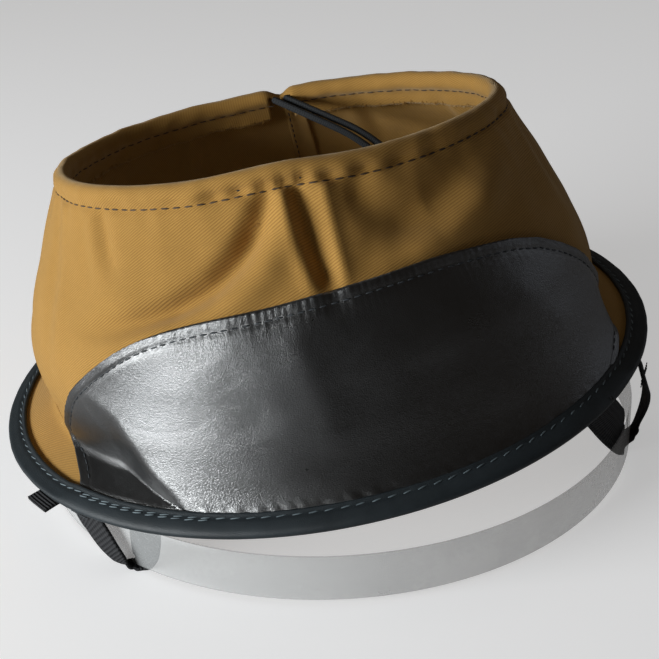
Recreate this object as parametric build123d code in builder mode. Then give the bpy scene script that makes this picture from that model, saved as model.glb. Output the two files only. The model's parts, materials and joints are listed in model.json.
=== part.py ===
"""Soft welding hood: a twill crown with a leather front, a bound brim and a clear band on elastic loops.

Millimetres, +Z up, -Y is the leather front, +X is the wearer's left as seen from the front (right in view).
The hood stands on a table: its band and the bottoms of the two loops rest on z = 0, and the soft crown
leans to one side above them. Hood pieces are drawn on the leaning plane HOOD, band pieces on BAND.
Angles round the hood are measured from the front (-Y) towards +X.
"""
from build123d import *
from math import asin, atan, atan2, cos, degrees, hypot, pi, radians, sin, tan
import os

# ---- hood pose on the table -------------------------------------------------------------------
HOOD_ROLL = -7.2            # lean about Y, right side high
HOOD_PITCH = 0.2            # lean about X
HOOD_LIFT = 36.0            # centre of the brim's edge above the table
FRONT_TURN = 11.5           # the sewn front is turned this far towards +X

# ---- brim --------------------------------------------------------------------------------------
BRIM_HALF_W = 138.0         # half width over the binding
BRIM_HALF_D = 131.4         # half depth over the binding
BINDING_NOSE = 3.8          # how far the binding's nose stands out past the cloth edge
BINDING_WIDTH = 11.5        # binding seen from above
BINDING_WALL = 1.2
BINDING_SEW_IN = 7.7        # stitch line from the binding's outer edge
WIRE_RADIUS = 0.9
WIRE_ROOM = 0.3
BRIM_FLARE_W = 20.7         # the sloping cloth, measured flat, from its edge to the fold
BRIM_FLARE_D = 20.1
FOLD_Z = 9.0

# ---- crown -------------------------------------------------------------------------------------
CROWN_SKIRT = 3.0           # the crown runs this far below the fold
CROWN_BULGE = (              # share of the height from fold to rim, how far the cloth stands out past a straight
    (0.085, 5.06, 3.76, 0.0),    # wall in width and in depth, and the rise of the front above the middle
    (0.202, 9.13, 7.82, 0.0), (0.319, 10.8, 9.78, 0.0), (0.436, 10.77, 10.15, 0.6), (0.553, 9.35, 9.11, 1.5),
    (0.660, 7.26, 6.96, 2.7), (0.766, 4.56, 3.98, 4.2), (0.878, 2.0, 1.38, 5.9),
)
RIM_HALF_W = 88.1
RIM_HALF_D = 76.2
RIM_Y = 0.75
RIM_Z = 103.0
RIM_RISE = 7.6              # front of the rim above its middle
CLOTH = 1.2                 # twill
LEATHER = 1.3
LAYER_GAP = 0.3             # between sewn layers
THREAD = 0.6

# ---- casing and cord ---------------------------------------------------------------------------
CASING_TALL = 10.5
CASING_CLOTH = 1.1          # cloth on each side of the cord, inside and outside
CASING_FOLLOWS = 0.945      # the casing slopes outwards a little less than the crown below the rim
CORD_DIAMETER = 3.0
CORD_ROOM = 0.3
CASING_DEEP = CORD_DIAMETER + 2 * CORD_ROOM + 2 * CASING_CLOTH
NOTCH_WIDTH = 13.0
TAIL_SPACING = 5.2          # between the two tails at the notch

# ---- leather front -----------------------------------------------------------------------------
PATCH_HALF_W = 105.0
PATCH_TOP = 71.5
PATCH_CORNER = 52.0
PATCH_SEW_IN = 3.5

# ---- clear band --------------------------------------------------------------------------------
BAND_X = 5.2
BAND_Y = -1.7
BAND_RADIUS = 126.9         # outside
BAND_TALL = 18.8
BAND_WALL = 0.8
BAND_LAP = 16.0             # degrees of overlap at the rear
RIVET_RADIUS = 1.6
RIVET_HEAD = 3.0
RIVET_HEAD_THICK = 0.8
RIVET_PITCH = 9.0

# ---- elastic loops -----------------------------------------------------------------------------
ELASTIC_WIDTH = 15.0
ELASTIC = 1.4
LOOP_GAP_IN = 0.5           # between the band and the inner leg
LOOP_GAP_OUT = 1.7          # a straight leg beside a round band needs more outside
LOOP_GAP_UNDER = 0.3
LOOPS = {                   # angles of inner leg bottom, inner leg top, outer leg bottom, outer leg top
    "left_loop": (-36.0, -31.0, -41.0, -45.5),
    "right_loop": (66.0, 50.0, 77.0, 64.0),
}
TAB_ANGLE = -53.5
TAB_WIDTH = 14.0
TAB_OUT = 4.0               # past the binding
TAB_HELD = 6.0              # under the binding
BARTACK_TALL = 3.0
BARTACK_THICK = 0.5

# ---- cord lock ---------------------------------------------------------------------------------
LOCK_CENTRE = (59.96, 17.75)
LOCK_CORD_Z = 11.5
LOCK_RADIUS = 7.0
LOCK_WALL = 1.5
LOCK_FLOOR = 2.0
LOCK_TALL = 19.0
LOCK_CORDS_APART = 4.4
LOCK_CLEAR = 0.35
BUTTON_TRAVEL = 3.0
BUTTON_PROUD = 4.0
SPRING_WIRE = 0.5
SPRING_TURNS = 3.0
SPRING_RADIUS = 3.6
KNOT_RADIUS = 3.8

LEFT_TAIL = (               # from the notch, across the opening, down to the table and through the lock
    (-13.9, 73.2, 125.6), (2.6, 49.0, 124.0), (23.3, 23.3, 120.3), (39.1, 0.5, 107.6), (47.4, -14.2, 85.6),
    (51.0, -23.6, 61.0), (52.9, -29.6, 38.0), (54.4, -28.4, 19.6), (56.39, -5.37, 11.5), (59.13, 41.13, 11.5),
    (57.6, 61.8, 4.2),
)
RIGHT_TAIL = (
    (-8.7, 73.2, 126.3), (6.4, 52.0, 124.6), (27.2, 26.3, 121.2), (43.2, 3.3, 108.6), (51.6, -11.4, 86.6),
    (55.6, -21.0, 62.0), (57.5, -27.6, 38.8), (58.8, -27.2, 20.2), (60.79, -5.63, 11.5), (63.53, 40.87, 11.5),
    (68.2, 62.2, 4.2),
)

BRIM_SLOPE = FOLD_Z / BRIM_FLARE_W
CLOTH_HALF_W = BRIM_HALF_W - BINDING_NOSE
CLOTH_HALF_D = BRIM_HALF_D - BINDING_NOSE
FOLD_HALF_W = CLOTH_HALF_W - BRIM_FLARE_W
FOLD_HALF_D = CLOTH_HALF_D - BRIM_FLARE_D
TRIM_GROW = 12.0            # the brim's underside is carried this far past the cloth's edge, to trim by
BASE = 4.0                  # how far the construction solids run below the cloth's edge
REACH = 170.0               # long enough to cut through the whole hood
SLIVER = 0.01               # keeps two faces from coinciding
PLAY = 0.05                 # rivets and spring in their seats

HOOD = Plane(Location((0, 0, HOOD_LIFT), (0, HOOD_ROLL, 0)) * Location((0, 0, 0), (HOOD_PITCH, 0, 0)))


def tilted_plane(y, height, rise, half_d):
    """A level of the crown whose front lies higher than its middle by rise."""
    return Plane(
        origin=HOOD.from_local_coords(Vector(0, y, height)),
        x_dir=HOOD.x_dir,
        z_dir=HOOD.y_dir * rise + HOOD.z_dir * half_d,
    )


RIM = tilted_plane(RIM_Y, RIM_Z, RIM_RISE, RIM_HALF_D)
turn = radians(FRONT_TURN)
FRONT = Plane(
    origin=HOOD.origin,
    x_dir=HOOD.x_dir * cos(turn) + HOOD.y_dir * sin(turn),
    z_dir=HOOD.x_dir * sin(turn) - HOOD.y_dir * cos(turn),
)


def round_point(angle, half_w, half_d):
    """Point at an angle from the front on an ellipse or circle."""
    return half_w * sin(radians(angle)), -half_d * cos(radians(angle))


def band_plane():
    """The band rests on both loops and on its own rear edge, so it is tilted very slightly."""
    (lx, ly), (rx, ry) = [
        round_point((inner + outer) / 2, BAND_RADIUS, BAND_RADIUS)
        for inner, _, outer, _ in LOOPS.values()
    ]
    run = hypot(rx - lx, ry - ly)
    back_x, back_y = -(ry - ly) / run, (rx - lx) / run
    to_loops = -(back_x * lx + back_y * ly)
    lift = ELASTIC + LOOP_GAP_UNDER
    fall = lift / (to_loops + BAND_RADIUS)
    return Plane(
        origin=(BAND_X, BAND_Y, fall * BAND_RADIUS),
        x_dir=(1, 0, -fall * back_x),
        z_dir=(fall * back_x, fall * back_y, 1),
    )


BAND = band_plane()


def crown_level(share, bulge_w, bulge_d):
    """Height, half width and half depth of the crown at a share of the way from fold to rim."""
    return (
        FOLD_Z + (RIM_Z - FOLD_Z) * share,
        FOLD_HALF_W + (RIM_HALF_W - FOLD_HALF_W) * share + bulge_w,
        FOLD_HALF_D + (RIM_HALF_D - FOLD_HALF_D) * share + bulge_d,
    )


def crown_solid(out):
    """Everything inside the crown's surface, grown outwards by out."""
    with BuildPart() as solid:
        with BuildSketch(HOOD.offset(FOLD_Z - CROWN_SKIRT)):
            Ellipse(FOLD_HALF_W + out, FOLD_HALF_D + out)
        for share, bulge_w, bulge_d, rise in CROWN_BULGE:
            height, half_w, half_d = crown_level(share, bulge_w, bulge_d)
            with BuildSketch(tilted_plane(0, height, rise, half_d)):
                Ellipse(half_w + out, half_d + out)
        with BuildSketch(RIM):
            Ellipse(RIM_HALF_W + out, RIM_HALF_D + out)
        loft(ruled=True)
    return solid.part


def brim_solid(up, grow=0.0):
    """Everything below the brim's sloping surface, raised by up and grown outwards along its slope."""
    edge_z = up - grow * BRIM_SLOPE
    with BuildPart() as solid:
        with BuildSketch(HOOD.offset(edge_z)) as edge:
            Ellipse(CLOTH_HALF_W + grow, CLOTH_HALF_D + grow)
        with BuildSketch(HOOD.offset(FOLD_Z + up)):
            Ellipse(FOLD_HALF_W, FOLD_HALF_D)
        loft(ruled=True)
        extrude(edge.sketch, amount=-BASE)
    return solid.part


def above_brim(drop):
    """Everything above the brim's underside, lowered by drop, to trim what is sewn under the brim."""
    with BuildPart() as solid:
        with BuildSketch(HOOD.offset(-drop - TRIM_GROW * BRIM_SLOPE - BASE)):
            Ellipse(CLOTH_HALF_W + TRIM_GROW - SLIVER, CLOTH_HALF_D + TRIM_GROW - SLIVER)
        extrude(amount=REACH)
        add(brim_solid(-drop, TRIM_GROW), mode=Mode.SUBTRACT)
    return solid.part


def hood_layer(inner, outer):
    """A layer that lies on crown and brim alike, from one height above the cloth to another."""
    with BuildPart() as layer:
        add(crown_solid(outer))
        add(brim_solid(outer))
        add(crown_solid(inner), mode=Mode.SUBTRACT)
        add(brim_solid(inner), mode=Mode.SUBTRACT)
    return layer.part


def crown_layer(inner, outer):
    with BuildPart() as layer:
        add(crown_solid(outer))
        add(crown_solid(inner), mode=Mode.SUBTRACT)
    return layer.part


def patch_outline(inset):
    """Front view of the leather: straight sides and top, large round upper corners."""
    half = PATCH_HALF_W - inset
    top = PATCH_TOP - inset
    with BuildSketch(FRONT) as outline:
        with Locations((0, top - REACH / 2)):
            Rectangle(2 * half, REACH)
        fillet(outline.vertices().group_by(Axis.Y)[-1], radius=PATCH_CORNER - inset)
    return outline.sketch


def save(part, label):
    part.label = label
    export_step(part, f"parts/{label}.step")
    print(f"{label}: {part.volume:.0f} mm3")


os.makedirs("parts", exist_ok=True)

# ---- twill crown, with its drawcord casing -----------------------------------------------------
with BuildLine(RIM) as rim_line:
    EllipticalCenterArc((0, 0), RIM_HALF_W, RIM_HALF_D, start_angle=0, arc_size=360)
RIM_SECTION = Plane(
    origin=RIM.from_local_coords(Vector(RIM_HALF_W, 0, 0)), x_dir=RIM.x_dir, z_dir=-RIM.y_dir
)
high_level, high_w, _ = crown_level(*CROWN_BULGE[-1][:3])
CASING_FLARE = CASING_FOLLOWS * (high_w - RIM_HALF_W) / (RIM_Z - high_level)    # outwards per mm down
CORD_IN = CASING_DEEP / 2 - CASING_FLARE * CASING_TALL / 2 + CLOTH / 2
CORD_DOWN = CASING_TALL / 2
with BuildPart() as crown:
    add(crown_layer(-CLOTH, 0))
    with BuildSketch(RIM_SECTION) as casing_section:
        flare = CASING_FLARE * CASING_TALL
        Polygon(
            (-CASING_DEEP, 0), (-CLOTH / 2, 0),
            (flare - CLOTH / 2, -CASING_TALL), (flare - CASING_DEEP, -CASING_TALL),
            align=None,
        )
        with Locations((-CORD_IN, -CORD_DOWN)):
            Circle(CORD_DIAMETER / 2 + CORD_ROOM, mode=Mode.SUBTRACT)
    sweep(path=rim_line.wires()[0])
    with BuildSketch(RIM.offset(-CASING_TALL - CLOTH)):
        with Locations((0, RIM_HALF_D - CLOTH - CASING_DEEP)):
            Rectangle(NOTCH_WIDTH, 2 * CASING_DEEP)
    extrude(amount=CASING_TALL + 2 * CLOTH, mode=Mode.SUBTRACT)
save(crown.part, "twill_crown")

# ---- twill brim --------------------------------------------------------------------------------
with BuildPart() as brim:
    add(brim_solid(0))
    add(brim_solid(-CLOTH), mode=Mode.SUBTRACT)
    add(crown_solid(LAYER_GAP), mode=Mode.SUBTRACT)
save(brim.part, "twill_brim")

# ---- leather front -----------------------------------------------------------------------------
with BuildPart() as patch:
    add(hood_layer(LAYER_GAP, LAYER_GAP + LEATHER))
    extrude(patch_outline(0), amount=REACH, mode=Mode.INTERSECT)
save(patch.part, "leather_front")

with BuildPart() as patch_thread:
    add(hood_layer(2 * LAYER_GAP + LEATHER, 2 * LAYER_GAP + LEATHER + THREAD))
    extrude(patch_outline(PATCH_SEW_IN), amount=REACH, mode=Mode.INTERSECT)
    extrude(patch_outline(PATCH_SEW_IN + THREAD), amount=REACH, mode=Mode.SUBTRACT)
    with BuildSketch(HOOD):
        Ellipse(CLOTH_HALF_W - BINDING_WIDTH, CLOTH_HALF_D - BINDING_WIDTH)
    extrude(amount=REACH, mode=Mode.INTERSECT)
save(patch_thread.part, "leather_thread")

# ---- thread in the crown -----------------------------------------------------------------------
with BuildPart() as casing_thread:
    add(crown_layer(LAYER_GAP, LAYER_GAP + THREAD))
    with BuildSketch(RIM.offset(-CASING_TALL - THREAD / 2)):
        Circle(REACH)
    extrude(amount=THREAD, mode=Mode.INTERSECT)
save(casing_thread.part, "casing_thread")

with BuildPart() as seam_thread:
    add(crown_layer(LAYER_GAP, LAYER_GAP + THREAD))
    with BuildSketch(HOOD.offset(FOLD_Z + 2 * CLOTH)):
        with Locations((0, REACH / 2)):
            Rectangle(THREAD, REACH)
    extrude(amount=RIM_Z - RIM_RISE - CASING_TALL - 2 * THREAD - FOLD_Z - 2 * CLOTH, mode=Mode.INTERSECT)
save(seam_thread.part, "back_seam_thread")

# ---- binding, its wire and its thread ----------------------------------------------------------
with BuildLine(HOOD) as edge_line:
    EllipticalCenterArc((0, 0), CLOTH_HALF_W, CLOTH_HALF_D, start_angle=0, arc_size=360)
EDGE_SECTION = Plane(
    origin=HOOD.from_local_coords(Vector(CLOTH_HALF_W, 0, 0)), x_dir=HOOD.x_dir, z_dir=-HOOD.y_dir
)
TOP_IN = 2 * LAYER_GAP + LEATHER            # inside faces of the binding at the cloth's edge
UNDER_IN = -CLOTH - LAYER_GAP
TOP_OUT = TOP_IN + BINDING_WALL
UNDER_OUT = UNDER_IN - BINDING_WALL
LIP = BINDING_WIDTH - BINDING_NOSE
NOSE_RADIUS = WIRE_RADIUS + WIRE_ROOM + BINDING_WALL
NOSE_AT = (BINDING_NOSE - NOSE_RADIUS, (TOP_OUT + UNDER_OUT) / 2)


def on_slope(out, height):
    """A point of the brim's section: out past the cloth's edge, and height above the sloping cloth."""
    return out, height - out * BRIM_SLOPE


with BuildPart() as binding:
    with BuildSketch(EDGE_SECTION) as binding_section:
        Polygon(
            on_slope(-LIP, TOP_OUT), (0, TOP_OUT),
            (NOSE_AT[0], NOSE_AT[1] + NOSE_RADIUS), (NOSE_AT[0], NOSE_AT[1] - NOSE_RADIUS),
            (0, UNDER_OUT), on_slope(-LIP, UNDER_OUT), align=None,
        )
        with Locations(NOSE_AT):
            Circle(NOSE_RADIUS)
        Polygon(
            on_slope(-LIP - 1, TOP_IN), (0, TOP_IN), (WIRE_ROOM, TOP_IN - WIRE_ROOM),
            (WIRE_ROOM, UNDER_IN + WIRE_ROOM), (0, UNDER_IN), on_slope(-LIP - 1, UNDER_IN),
            align=None, mode=Mode.SUBTRACT,
        )
        with Locations(NOSE_AT):
            Circle(WIRE_RADIUS + WIRE_ROOM, mode=Mode.SUBTRACT)
    sweep(path=edge_line.wires()[0])
save(binding.part, "brim_binding")

with BuildPart() as wire:
    with BuildSketch(EDGE_SECTION):
        with Locations(NOSE_AT):
            Circle(WIRE_RADIUS)
    sweep(path=edge_line.wires()[0])
save(wire.part, "brim_wire")

with BuildPart() as binding_thread:
    with BuildSketch(EDGE_SECTION):
        with Locations(on_slope(BINDING_NOSE - BINDING_SEW_IN, TOP_OUT + THREAD / 2 + LAYER_GAP / 2)):
            Rectangle(THREAD, THREAD, rotation=-degrees(atan(BRIM_SLOPE)))
    sweep(path=edge_line.wires()[0])
save(binding_thread.part, "binding_thread")

# ---- clear band and its rivets -----------------------------------------------------------------
rivet_heights = [BAND_TALL / 2 - RIVET_PITCH / 2, BAND_TALL / 2 + RIVET_PITCH / 2]
RIVET_PLANE = Plane(
    origin=BAND.from_local_coords(Vector(0, BAND_RADIUS, 0)), x_dir=BAND.x_dir, z_dir=BAND.y_dir
)
rivet_points = [(0, -height) for height in rivet_heights]
if RIVET_PLANE.to_local_coords(BAND.origin + BAND.z_dir * BAND_TALL).Y > 0:
    rivet_points = [(0, height) for height in rivet_heights]

with BuildPart() as band:
    with BuildSketch(BAND):
        Circle(BAND_RADIUS)
        Circle(BAND_RADIUS - BAND_WALL, mode=Mode.SUBTRACT)
    extrude(amount=BAND_TALL)
    with BuildSketch(BAND) as lap:
        Circle(BAND_RADIUS + BAND_WALL)
        with Locations((0, BAND_RADIUS)):
            Rectangle(2 * BAND_RADIUS * sin(radians(BAND_LAP / 2)), BAND_RADIUS / 2, mode=Mode.INTERSECT)
        Circle(BAND_RADIUS - BAND_WALL / 2, mode=Mode.SUBTRACT)
    extrude(amount=BAND_TALL)
    with BuildSketch(RIVET_PLANE.offset(-4 * BAND_WALL)):
        with Locations(*rivet_points):
            Circle(RIVET_RADIUS)
    extrude(amount=8 * BAND_WALL, mode=Mode.SUBTRACT)
save(band.part, "clear_band")

with BuildPart() as rivets:
    for start, length, radius in (
        (-BAND_WALL - RIVET_HEAD_THICK, 2 * BAND_WALL + 2 * RIVET_HEAD_THICK, RIVET_RADIUS),
        (-BAND_WALL - RIVET_HEAD_THICK - PLAY, RIVET_HEAD_THICK, RIVET_HEAD),
        (BAND_WALL + PLAY, RIVET_HEAD_THICK, RIVET_HEAD),
    ):
        with BuildSketch(RIVET_PLANE.offset(start)):
            with Locations(*rivet_points):
                Circle(radius)
        extrude(amount=length)
save(rivets.part, "band_rivets")


# ---- elastic loops -----------------------------------------------------------------------------
LOOP_RADII = (
    BAND_RADIUS - BAND_WALL - LOOP_GAP_IN - ELASTIC / 2,
    BAND_RADIUS + LOOP_GAP_OUT + ELASTIC / 2,
)
LEG_TOP = HOOD_LIFT + BRIM_HALF_W * sin(radians(-HOOD_ROLL)) + FOLD_Z
UNDER_BRIM = -UNDER_OUT + LAYER_GAP


def leg_spot(angle, radius):
    """Place of a leg's section: its width runs round the band."""
    x, y = round_point(angle, radius, radius)
    return Location((BAND_X + x, BAND_Y + y, 0), (0, 0, angle))


def loop_legs(angles, grow=0.0):
    with BuildPart() as legs:
        for radius, bottom, top in zip(LOOP_RADII, angles[0::2], angles[1::2]):
            for height, angle in ((0, bottom), (LEG_TOP, bottom + (top - bottom) * LEG_TOP / top_height(top))):
                with BuildSketch(Plane.XY.offset(height)):
                    with Locations(leg_spot(angle, radius)):
                        Rectangle(ELASTIC_WIDTH, ELASTIC + 2 * grow)
            loft(ruled=True)
    return legs.part


def top_height(angle):
    """Height of the brim above the band at an angle."""
    x, _ = round_point(angle, BAND_RADIUS, BAND_RADIUS)
    return HOOD_LIFT + (BAND_X + x) * sin(radians(-HOOD_ROLL))


trim = above_brim(UNDER_BRIM)
for loop_name, loop_angles in LOOPS.items():
    with BuildPart() as loop:
        add(loop_legs(loop_angles))
        with BuildSketch(Plane.XY):
            for leg_radius, leg_angle in zip(LOOP_RADII, loop_angles[0::2]):
                with Locations(leg_spot(leg_angle, leg_radius)):
                    Rectangle(ELASTIC_WIDTH, ELASTIC)
            make_hull()
        extrude(amount=ELASTIC)
        add(trim, mode=Mode.SUBTRACT)
    save(loop.part, loop_name)

with BuildPart() as bartacks:
    for loop_angles in LOOPS.values():
        add(loop_legs(loop_angles, BARTACK_THICK))
    for loop_angles in LOOPS.values():
        add(loop_legs(loop_angles, BARTACK_THICK / 10), mode=Mode.SUBTRACT)
    add(trim, mode=Mode.SUBTRACT)
    add(above_brim(UNDER_BRIM + BARTACK_TALL), mode=Mode.INTERSECT)
save(bartacks.part, "loop_bartacks")

tab_x, tab_y = round_point(TAB_ANGLE, BRIM_HALF_W, BRIM_HALF_D)
TAB_PLANE = Plane(
    origin=HOOD.from_local_coords(Vector(tab_x, tab_y, UNDER_OUT - LAYER_GAP - ELASTIC)),
    x_dir=HOOD.x_dir * cos(radians(TAB_ANGLE)) + HOOD.y_dir * sin(radians(TAB_ANGLE)),
    z_dir=HOOD.z_dir,
)
with BuildPart() as tab:
    with BuildSketch(TAB_PLANE):
        with Locations((0, (TAB_HELD - TAB_OUT) / 2)):
            Rectangle(TAB_WIDTH, TAB_HELD + TAB_OUT)
    extrude(amount=ELASTIC)
save(tab.part, "strap_end_tab")

# ---- drawcord in the casing --------------------------------------------------------------------
CORD_HALF_W = RIM_HALF_W - CORD_IN
CORD_HALF_D = RIM_HALF_D - CORD_IN
ring_end = degrees(asin((TAIL_SPACING / 2 + CORD_DIAMETER / 2 + 3 * LAYER_GAP) / CORD_HALF_W))
with BuildPart() as drawcord:
    with BuildLine(RIM.offset(-CORD_DOWN)) as cord_line:
        EllipticalCenterArc((0, 0), CORD_HALF_W, CORD_HALF_D, start_angle=90 + ring_end, arc_size=360 - 2 * ring_end)
    with BuildSketch(Plane(origin=cord_line.line @ 0, z_dir=cord_line.line % 0)):
        Circle(CORD_DIAMETER / 2)
    sweep()
save(drawcord.part, "drawcord")


# ---- free tails --------------------------------------------------------------------------------
def corner_radii(points):
    """Each corner's arc is as large as its two runs allow."""
    radii = []
    for before, here, after in zip(points, points[1:], points[2:]):
        arriving, leaving = Vector(*here) - Vector(*before), Vector(*after) - Vector(*here)
        half_turn = radians(arriving.get_angle(leaving)) / 2
        radii.append(0.45 * min(arriving.length, leaving.length) / tan(half_turn))
    return radii


for tail_name, route in (("left_tail", LEFT_TAIL), ("right_tail", RIGHT_TAIL)):
    radii = corner_radii(route)
    with BuildPart() as tail:
        with BuildLine():
            path = FilletPolyline(*route, radius=radii)
        with BuildSketch(Plane(origin=path @ 0, z_dir=path % 0)):
            Circle(CORD_DIAMETER / 2)
        sweep()
    length = sum(edge.length for edge in path.edges())
    print(tail_name, "length", round(length, 1), "radii", [round(r, 1) for r in radii],
          "volume over section x length", round(tail.part.volume / (pi * CORD_DIAMETER**2 / 4 * length), 4))
    save(tail.part, tail_name)

with BuildPart() as knots:
    with Locations(LEFT_TAIL[-1], RIGHT_TAIL[-1]):
        Sphere(KNOT_RADIUS)
save(knots.part, "tail_knots")

# ---- cord lock ---------------------------------------------------------------------------------
LOCK_TURN = degrees(atan2(LEFT_TAIL[9][1] - LEFT_TAIL[8][1], LEFT_TAIL[9][0] - LEFT_TAIL[8][0]))
LOCK_BORE = LOCK_RADIUS - LOCK_WALL
BUTTON_RADIUS = LOCK_BORE - LOCK_CLEAR
SLOT_WIDTH = LOCK_CORDS_APART + CORD_DIAMETER + 2 * LOCK_CLEAR
SLOT_TALL = CORD_DIAMETER + 2 * LOCK_CLEAR
SLOT_LOW = LOCK_CORD_Z - SLOT_TALL / 2
SPRING_TALL = SPRING_TURNS * SPRING_WIRE + BUTTON_TRAVEL + 2 * SPRING_WIRE
BUTTON_LOW = LOCK_FLOOR + SPRING_TALL
ALONG = Plane(origin=(*LOCK_CENTRE, 0), x_dir=(-sin(radians(LOCK_TURN)), cos(radians(LOCK_TURN)), 0),
              z_dir=(cos(radians(LOCK_TURN)), sin(radians(LOCK_TURN)), 0))

with BuildPart() as barrel:
    with BuildSketch():
        with Locations(LOCK_CENTRE):
            Circle(LOCK_RADIUS)
    extrude(amount=LOCK_TALL)
    fillet(barrel.edges().filter_by(GeomType.CIRCLE), radius=LOCK_WALL / 2)
    with BuildSketch(Plane.XY.offset(LOCK_FLOOR)):
        with Locations(LOCK_CENTRE):
            Circle(LOCK_BORE)
    extrude(amount=LOCK_TALL, mode=Mode.SUBTRACT)
    with BuildSketch(ALONG):
        with Locations((0, LOCK_CORD_Z)):
            Rectangle(SLOT_WIDTH, SLOT_TALL)
    extrude(amount=REACH / 4, both=True, mode=Mode.SUBTRACT)
save(barrel.part, "lock_barrel")

with BuildPart() as button:
    with BuildSketch(Plane.XY.offset(BUTTON_LOW)):
        with Locations(LOCK_CENTRE):
            Circle(BUTTON_RADIUS)
    extrude(amount=LOCK_TALL + BUTTON_PROUD - BUTTON_LOW)
    fillet(button.edges().group_by(Axis.Z)[-1], radius=LOCK_WALL)
    with BuildSketch(ALONG):
        with Locations((0, SLOT_LOW + (SLOT_TALL + BUTTON_TRAVEL) / 2)):
            Rectangle(SLOT_WIDTH, SLOT_TALL + BUTTON_TRAVEL)
    extrude(amount=REACH / 4, both=True, mode=Mode.SUBTRACT)
save(button.part, "lock_button")

with BuildPart() as spring:
    with BuildLine(Plane(origin=(*LOCK_CENTRE, LOCK_FLOOR + SPRING_WIRE / 2 + PLAY))) as coil:
        Helix(pitch=(SPRING_TALL - SPRING_WIRE - 0.1) / SPRING_TURNS, height=SPRING_TALL - SPRING_WIRE - 0.1,
              radius=SPRING_RADIUS)
    with BuildSketch(Plane(origin=coil.line @ 0, z_dir=coil.line % 0)):
        Circle(SPRING_WIRE / 2)
    sweep(is_frenet=True)
save(spring.part, "lock_spring")

print("band centre", BAND.origin, "axis", BAND.z_dir)
print("lock slide", ALONG.z_dir)
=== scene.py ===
# %% [markdown]
# # A soft welding hood
# The real object is sewn: a crown of golden twill with a drawcord in its neck, a flared brim edged with black
# tape, a black leather front, and a clear plastic band that stands in two elastic loops under the brim.
# Nearly every piece lies on one and the same surface, so this lesson first describes that surface once, and
# then lays cloth, leather, tape and stitches on it at their own heights.

# %% The frame and the tools
import json
import random
from math import cos, exp, hypot, pi, radians, sin, sqrt

import bmesh
import bpy
from mathutils import Matrix, Vector, noise

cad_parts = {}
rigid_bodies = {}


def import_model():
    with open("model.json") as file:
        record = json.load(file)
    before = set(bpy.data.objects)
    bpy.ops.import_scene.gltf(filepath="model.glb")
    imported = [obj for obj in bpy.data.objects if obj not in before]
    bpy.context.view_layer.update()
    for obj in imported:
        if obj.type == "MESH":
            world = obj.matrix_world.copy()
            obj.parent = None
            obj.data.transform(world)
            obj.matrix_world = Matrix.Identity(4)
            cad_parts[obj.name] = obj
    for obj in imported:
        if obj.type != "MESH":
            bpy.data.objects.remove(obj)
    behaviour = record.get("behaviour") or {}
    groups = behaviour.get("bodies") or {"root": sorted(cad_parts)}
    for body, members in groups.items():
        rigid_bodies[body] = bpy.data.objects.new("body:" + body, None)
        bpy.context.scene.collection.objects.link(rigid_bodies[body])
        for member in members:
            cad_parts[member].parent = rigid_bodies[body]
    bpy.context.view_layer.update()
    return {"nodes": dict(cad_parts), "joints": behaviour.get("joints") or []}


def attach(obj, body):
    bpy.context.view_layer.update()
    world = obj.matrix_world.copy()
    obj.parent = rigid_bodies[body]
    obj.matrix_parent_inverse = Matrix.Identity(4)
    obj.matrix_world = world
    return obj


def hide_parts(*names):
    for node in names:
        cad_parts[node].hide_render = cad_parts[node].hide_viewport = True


for spare in list(bpy.data.objects):                # what a new file starts with
    bpy.data.objects.remove(spare)
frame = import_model()
MM = 0.001
random.seed(7)

# %% [markdown]
# ## Camera first
# A camera is placed before any modelling, so that every render shows the same view. It looks down at the
# leather front from a little under half a metre away and is held slightly askew.

# %% Camera
camera_data = bpy.data.cameras.new("camera")
camera_data.lens = 66.4
camera_data.sensor_width = 36.0
camera = bpy.data.objects.new("camera", camera_data)
bpy.context.scene.collection.objects.link(camera)
bpy.context.scene.camera = camera
camera_spot = Vector((-0.0059, -0.4683, 0.2842))
camera_aim = Vector((0.0037, 0.0, 0.0440))
CAMERA_ROLL = 3.29
looking = (camera_aim - camera_spot).to_track_quat("-Z", "Y").to_matrix().to_4x4()
camera.matrix_world = Matrix.Translation(camera_spot) @ looking @ Matrix.Rotation(radians(-CAMERA_ROLL), 4, "Z")
print("camera", round((camera_aim - camera_spot).length, 3), "m from its aim")

# %% [markdown]
# ## Studio
# The floor is a large pale sheet that rises behind the object, so no horizon shows. It glows a little for the
# camera alone, through a Light Path node, which makes the paper look white without lighting the hood from below.
# The main light is a wide soft panel low on the left. A weak one behind at the right draws a thin shine on the
# leather's far end, and the rest of the right side stays dark.


# %% Floor and lights
def lamp(name, spot, aim, size, power, colour=(1.0, 1.0, 1.0)):
    data = bpy.data.lights.new(name, "AREA")
    data.shape = "RECTANGLE"
    data.size, data.size_y = size
    data.energy = power
    data.color = colour
    lamp_object = bpy.data.objects.new(name, data)
    lamp_object.matrix_world = (
        Matrix.Translation(spot) @ (Vector(aim) - Vector(spot)).to_track_quat("-Z", "Y").to_matrix().to_4x4()
    )
    bpy.context.scene.collection.objects.link(lamp_object)
    return lamp_object


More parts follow.
